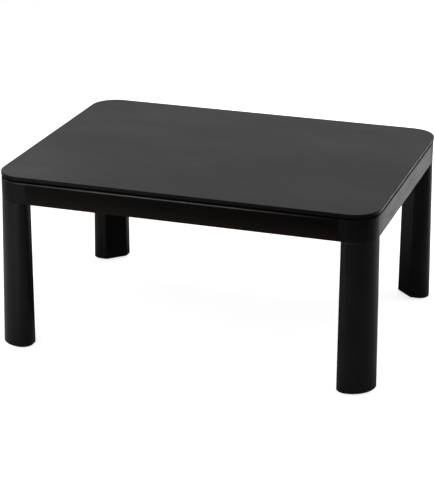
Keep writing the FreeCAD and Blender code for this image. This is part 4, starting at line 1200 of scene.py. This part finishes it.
@dataclass
class HeatingCoil:
    """Coiled resistance wire in a quartz tube, wound between two terminal pins.

    Attributes:
        node: the plain rod that the coil stands for.
        wire_radius: radius of the wire.
        pitch: distance between turns.
        winding_inset: length of a pin outside the winding.
        pin_radius: radius of a pin.
        pin_turns: number of turns that a pin reaches into the winding.
        steps: points of one turn.
        wire_sides: sides of the wire.
        pin_sides: sides of a pin.
    """

    node: str
    wire_radius: float = 0.28 * MILLIMETRE
    pitch: float = 1.5 * MILLIMETRE
    winding_inset: float = 0.021
    pin_radius: float = 0.95 * MILLIMETRE
    pin_turns: float = 3.0
    steps: int = 14
    wire_sides: int = 6
    pin_sides: int = 18

    def path(self, low: Vector, high: Vector) -> list[Vector]:
        """Centre line of the winding.

        Args:
            low: lowest corner of the rod.
            high: highest corner of the rod.

        Returns:
            Points from the left pin to the right pin.
        """
        middle = (low + high) / 2.0
        coil_radius = (high.z - low.z) / 2.0 - self.wire_radius
        start = low.x + self.winding_inset
        length = high.x - low.x - 2.0 * self.winding_inset
        turns = round(length / self.pitch)
        count = turns * self.steps
        points = []
        for index in range(count + 1):
            share = index / count
            # the first and last turn close in on the pin
            ease = min(1.0, index / self.steps, (count - index) / self.steps)
            reach = self.pin_radius + (coil_radius - self.pin_radius) * ease
            angle = 2.0 * math.pi * index / self.steps
            points.append(Vector((start + share * length, middle.y + reach * math.cos(angle),
                                  middle.z + reach * math.sin(angle))))
        return points

    def add_pin(self, mesh: bmesh.types.BMesh, start: Vector, stop: Vector) -> None:
        """Add a terminal pin to the coil.

        Args:
            mesh: mesh of the coil.
            start: middle of the pin's outer end.
            stop: middle of its inner end.
        """
        pin = wire_mesh([start, (start + stop) / 2.0, stop], self.pin_radius, self.pin_sides)
        data = bpy.data.meshes.new("pin")
        pin.to_mesh(data)
        pin.free()
        mesh.from_mesh(data)
        bpy.data.meshes.remove(data)

    def build(self, finish: bpy.types.Material) -> None:
        """Build the coil and its pins.

        Args:
            finish: material of the wire.
        """
        low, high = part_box(self.node)
        middle = (low + high) / 2.0
        mesh = wire_mesh(self.path(low, high), self.wire_radius, self.wire_sides)
        length = self.winding_inset + self.pin_turns * self.pitch
        for end, inner in ((low.x, low.x + length), (high.x, high.x - length)):
            self.add_pin(mesh, Vector((end, middle.y, middle.z)), Vector((inner, middle.y, middle.z)))
        bmesh.ops.recalc_face_normals(mesh, faces=mesh.faces)
        data = bpy.data.meshes.new(f"wound_{self.node}")
        mesh.to_mesh(data)
        mesh.free()
        # the wire is round between its flat ends, whose faces are the only ones without four corners
        data.polygons.foreach_set("use_smooth", [len(face.vertices) == 4 for face in data.polygons])
        data.materials.append(finish)
        piece = bpy.data.objects.new(f"wound_{self.node}", data)
        bpy.context.scene.collection.objects.link(piece)
        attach(piece, Body.FRAME.value)
        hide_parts(self.node)
        LOG.info("%s stands for %s", piece.name, self.node)


@dataclass
class Heater:
    """Heater unit under the middle of the table: pan, tubes, wiring, inlet and guard.

    Attributes:
        wire: finish of the heating wire.
        coils: the wound coils.
    """

    wire: Finish = PlatedMetal("heating_wire", color=(0.30, 0.28, 0.26), second=(0.16, 0.14, 0.14),
                               roughness=(0.35, 0.55), spangle=2.5 * MILLIMETRE)
    coils: tuple[HeatingCoil, ...] = (HeatingCoil("heating_coil_front"), HeatingCoil("heating_coil_back"))

    def build_shell(self) -> None:
        """Dress pan, mat, reflector and guard."""
        pan = PlatedMetal("pan_steel", color=(0.55, 0.56, 0.57), second=(0.42, 0.43, 0.45),
                          roughness=(0.3, 0.46), spangle=9.0 * MILLIMETRE)
        dress(pan, "heater_pan", "tube_holders")
        mat = PressedFibre("mineral_mat", color=(0.70, 0.67, 0.60), second=(0.80, 0.78, 0.72),
                           roughness=(0.9, 1.0))
        dress(mat, "insulation_mat")
        low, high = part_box("quartz_tube_back")
        bright = BrightSheet("reflector_sheet", color=(0.80, 0.80, 0.81), second=(0.88, 0.88, 0.89),
                             roughness=(0.12, 0.24), tube_offset=(low.y + high.y) / 2.0)
        dress(bright, "reflector")
        guard = FlockedSheet("guard_coating", color=(0.012, 0.012, 0.012), second=(0.02, 0.0195, 0.019),
                             roughness=(0.85, 0.95))
        dress(guard, "guard_grille", "guard_bezel")

    def build_tubes(self) -> None:
        """Dress tubes and their ends, and wind the coils."""
        dress(MilkyQuartz("quartz", color=(0.92, 0.92, 0.90), second=(0.84, 0.84, 0.83),
                          roughness=(0.18, 0.3)), "quartz_tube_front", "quartz_tube_back")
        dress(Ceramic("white_ceramic", color=(0.80, 0.78, 0.72), second=(0.66, 0.62, 0.54),
                      roughness=(0.6, 0.75)), "tube_end_caps", "terminal_block")
        dress(self.wire, *(coil.node for coil in self.coils))
        wire = self.wire.material()
        for coil in self.coils:
            coil.build(wire)

    def build_wiring(self) -> None:
        """Dress thermostat, fuse, leads and inlet."""
        dress(MouldedPlastic("switch_phenolic", color=(0.06, 0.035, 0.02), second=(0.09, 0.055, 0.032),
                             roughness=(0.45, 0.6)), "thermostat")
        dress(PlatedMetal("fuse_metal", color=(0.70, 0.70, 0.68), second=(0.6, 0.6, 0.58),
                          roughness=(0.2, 0.35), spangle=3.0 * MILLIMETRE), "thermal_fuse")
        dress(BraidedSleeve("lead_sleeve", color=(0.74, 0.73, 0.68), second=(0.55, 0.53, 0.48),
                            roughness=(0.75, 0.9)), "lead_wires")
        dress(MouldedPlastic("inlet_plastic", color=(0.014, 0.014, 0.014), second=(0.02, 0.02, 0.02),
                             roughness=(0.42, 0.55)), "inlet_housing")
        dress(PlatedMetal("pin_brass", color=(0.78, 0.60, 0.28), second=(0.66, 0.5, 0.24),
                          roughness=(0.18, 0.3), spangle=4.0 * MILLIMETRE), "inlet_pins")

    def build(self) -> None:
        """Build the whole heater."""
        self.build_shell()
        self.build_tubes()
        self.build_wiring()


@dataclass(frozen=True)
class Lamp:
    """One soft rectangular lamp.

    Attributes:
        name: name of the lamp.
        place: where it hangs.
        size: its width and height.
        power: its power in watts.
        facing: what it faces.
        aim_height: height of the point over the origin that it faces if it faces the table.
    """

    name: str
    place: Place
    size: tuple[float, float]
    power: float
    facing: Facing = Facing.TABLE
    aim_height: float = 0.25

    def build(self) -> None:
        """Hang the lamp."""
        place = Vector(self.place)
        aim = Vector((0.0, 0.0, self.aim_height))
        if self.facing is Facing.FLOOR:
            aim = Vector((place.x, place.y, 0.0))
        data = bpy.data.lights.new(self.name, "AREA")
        data.shape = "RECTANGLE"
        data.size, data.size_y = self.size
        data.energy = self.power
        lamp = bpy.data.objects.new(self.name, data)
        lamp.location = place
        lamp.rotation_euler = (aim - place).to_track_quat("-Z", "Y").to_euler()
        lamp.visible_camera = False
        bpy.context.scene.collection.objects.link(lamp)
        LOG.info("lamp %s hangs at %s", self.name, self.place)


@dataclass
class Studio:
    """Plain pale floor and soft light.

    Attributes:
        floor_reach: half the side of the floor.
        floor_segments: number of faces along a side of the floor.
        floor_gray: share of light that the floor gives back.
        floor_lift: what the floor adds so that it shows white.
        glossy_lift_share: share of that which reflections see.
        shade: how much darker the floor under the table is in reflections, because the table shades it.
        shade_shift: how far that shade falls towards the back.
        shade_fade: half the width of its soft edge.
        sky: strength of the world's light on the table.
        glossy_sky_share: how near to white reflections see the world, from 0, its light, to 1.
        lamps: the lamps, some of which light only the floor that the table's gloss mirrors.
    """

    floor_reach: float = 20.0
    floor_segments: int = 8
    floor_gray: float = 0.4
    floor_lift: float = 0.75
    glossy_lift_share: float = 0.25
    shade: float = 0.95
    shade_shift: float = 0.08
    shade_fade: float = 0.1
    sky: float = 0.5
    glossy_sky_share: float = 0.88
    lamps: tuple[Lamp, ...] = (
        Lamp("front_left", (-1.2, -2.6, 0.75), (1.4, 1.4), 20.0),
        Lamp("over_top", (0.3, 0.6, 2.9), (2.2, 1.8), 40.0),
        Lamp("back_left", (-0.93, 0.69, 0.84), (0.5, 0.4), 0.66),
        Lamp("back_right", (2.1, 2.0, 0.75), (1.4, 1.4), 9.0),
        Lamp("left_side", (-2.7, -0.7, 0.75), (1.4, 1.4), 9.0),
        Lamp("floor_front", (0.0, -0.62, 0.35), (1.1, 0.3), 3.0, Facing.FLOOR),
        Lamp("floor_back", (-0.25, 1.45, 0.45), (1.2, 0.7), 9.0, Facing.FLOOR),
        Lamp("floor_front_left", (-0.90, -1.25, 0.30), (0.75, 0.7), 24.0, Facing.FLOOR),
        Lamp("floor_left", (-0.85, -0.2, 0.35), (0.5, 0.6), 2.2, Facing.FLOOR),
        Lamp("floor_back_right", (1.2, 0.95, 0.45), (1.0, 1.2), 22.0, Facing.FLOOR),
    )

    def shaded(self, shader: Shader) -> Socket:
        """Share of its light that reflections see of a place on the floor.

        Args:
            shader: the floor's node tree.

        Returns:
            Little under the table, and 1 outside it.
        """
        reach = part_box("top_face_sheet")[1]
        across = shader.off(shader.level(Axis.Y), self.shade_shift)
        outside = shader.math("MAXIMUM",
                              shader.math("SUBTRACT", shader.off(shader.level(Axis.X), 0.0), reach.x),
                              shader.math("SUBTRACT", across, reach.y))
        return shader.ranged(outside, -self.shade_fade, self.shade_fade, 1.0 - self.shade, 1.0)

    def floor_material(self) -> bpy.types.Material:
        """Make the floor's material.

        Returns:
            The new material, white to the camera and darker under the table to reflections.
        """
        shader = Shader("pale_floor")
        shaded = self.shaded(shader)
        seen = shader.seen_share(shader.math("MULTIPLY", shaded, self.glossy_lift_share))
        glossy = shader.nodes.new("ShaderNodeLightPath").outputs["Is Glossy Ray"]
        dim = shader.math("MULTIPLY", glossy, shader.math("SUBTRACT", 1.0, shaded))
        shader.set(base_color=shader.mixed(dim, scaled(WHITE, self.floor_gray), BLACK), roughness=1.0,
                   specular_ior_level=0.0, emission_color=WHITE,
                   emission_strength=shader.math("MULTIPLY", seen, self.floor_lift))
        return shader.material

    def build_floor(self) -> None:
        """Lay the floor."""
        mesh = bmesh.new()
        segments = self.floor_segments
        bmesh.ops.create_grid(mesh, x_segments=segments, y_segments=segments, size=self.floor_reach)
        data = bpy.data.meshes.new("floor")
        mesh.to_mesh(data)
        mesh.free()
        floor = bpy.data.objects.new("floor", data)
        bpy.context.scene.collection.objects.link(floor)
        data.materials.append(self.floor_material())
        LOG.info("floor laid")

    def build_sky(self) -> None:
        """Light the world evenly, and show it white."""
        world = bpy.data.worlds.new("studio")
        world.use_nodes = True
        bpy.context.scene.world = world
        tree = NodeTree(world.node_tree)
        seen = tree.seen_share(self.glossy_sky_share)
        tree.fill(tree.nodes["Background"], color=WHITE, strength=tree.ranged(seen, 0.0, 1.0, self.sky, 1.0))
        LOG.info("sky lit")

    def build(self) -> None:
        """Build floor, sky and lamps."""
        self.build_floor()
        self.build_sky()
        for lamp in self.lamps:
            lamp.build()


@dataclass
class Viewpoint:
    """Camera of the reference view, turned about the middle of the table's upper face.

    Attributes:
        azimuth: angle to the right of the front, in degrees.
        elevation: angle over the horizon, in degrees.
        roll: tilt of the frame, in degrees.
        distance: how far back the camera stands.
        aim_right: how far right of the pivot it looks.
        aim_up: how far over the pivot it looks.
        focal_pixels: focal length in pixels of the frame.
        frame_height_pixels: long side of the frame.
        sensor: long side of the sensor, in millimetres.
    """

    azimuth: float = 18.2536
    elevation: float = 20.8451
    roll: float = 0.2265
    distance: float = 3.73414
    aim_right: float = -0.01439
    aim_up: float = -0.20353
    focal_pixels: float = 1761.18
    frame_height_pixels: float = 495.0
    sensor: float = 36.0

    def build(self) -> None:
        """Set up the camera."""
        turn = math.radians(self.azimuth)
        rise = math.radians(self.elevation)
        back = Vector((math.sin(turn) * math.cos(rise), -math.cos(turn) * math.cos(rise), math.sin(rise)))
        level = Vector((math.cos(turn), math.sin(turn), 0.0))
        upright = back.cross(level)
        tilt = math.radians(self.roll)
        right = math.cos(tilt) * level + math.sin(tilt) * upright
        up = math.cos(tilt) * upright - math.sin(tilt) * level
        data = bpy.data.cameras.new("reference_view")
        data.sensor_width = self.sensor
        data.lens = self.focal_pixels * self.sensor / self.frame_height_pixels
        camera = bpy.data.objects.new("reference_view", data)
        pivot = Vector((0.0, 0.0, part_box("top_face_sheet")[1].z))
        place = pivot + self.aim_right * right + self.aim_up * up + self.distance * back
        camera.matrix_world = Matrix.Translation(place) @ Matrix((right, up, back)).transposed().to_4x4()
        bpy.context.scene.collection.objects.link(camera)
        bpy.context.scene.camera = camera
        LOG.info("camera stands at %s", tuple(round(value, 3) for value in place))


def main() -> None:
    """Build the camera, the table's sub-assemblies and the studio."""
    logging.basicConfig(level=logging.INFO, format="%(name)s: %(message)s")
    bpy.context.scene.view_settings.view_transform = "Standard"
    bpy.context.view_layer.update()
    Viewpoint().build()
    for assembly in (TableTop(), TableFrame(), Legs(), Heater()):
        assembly.build()
    Studio().build()


if __name__ == "__main__":
    main()
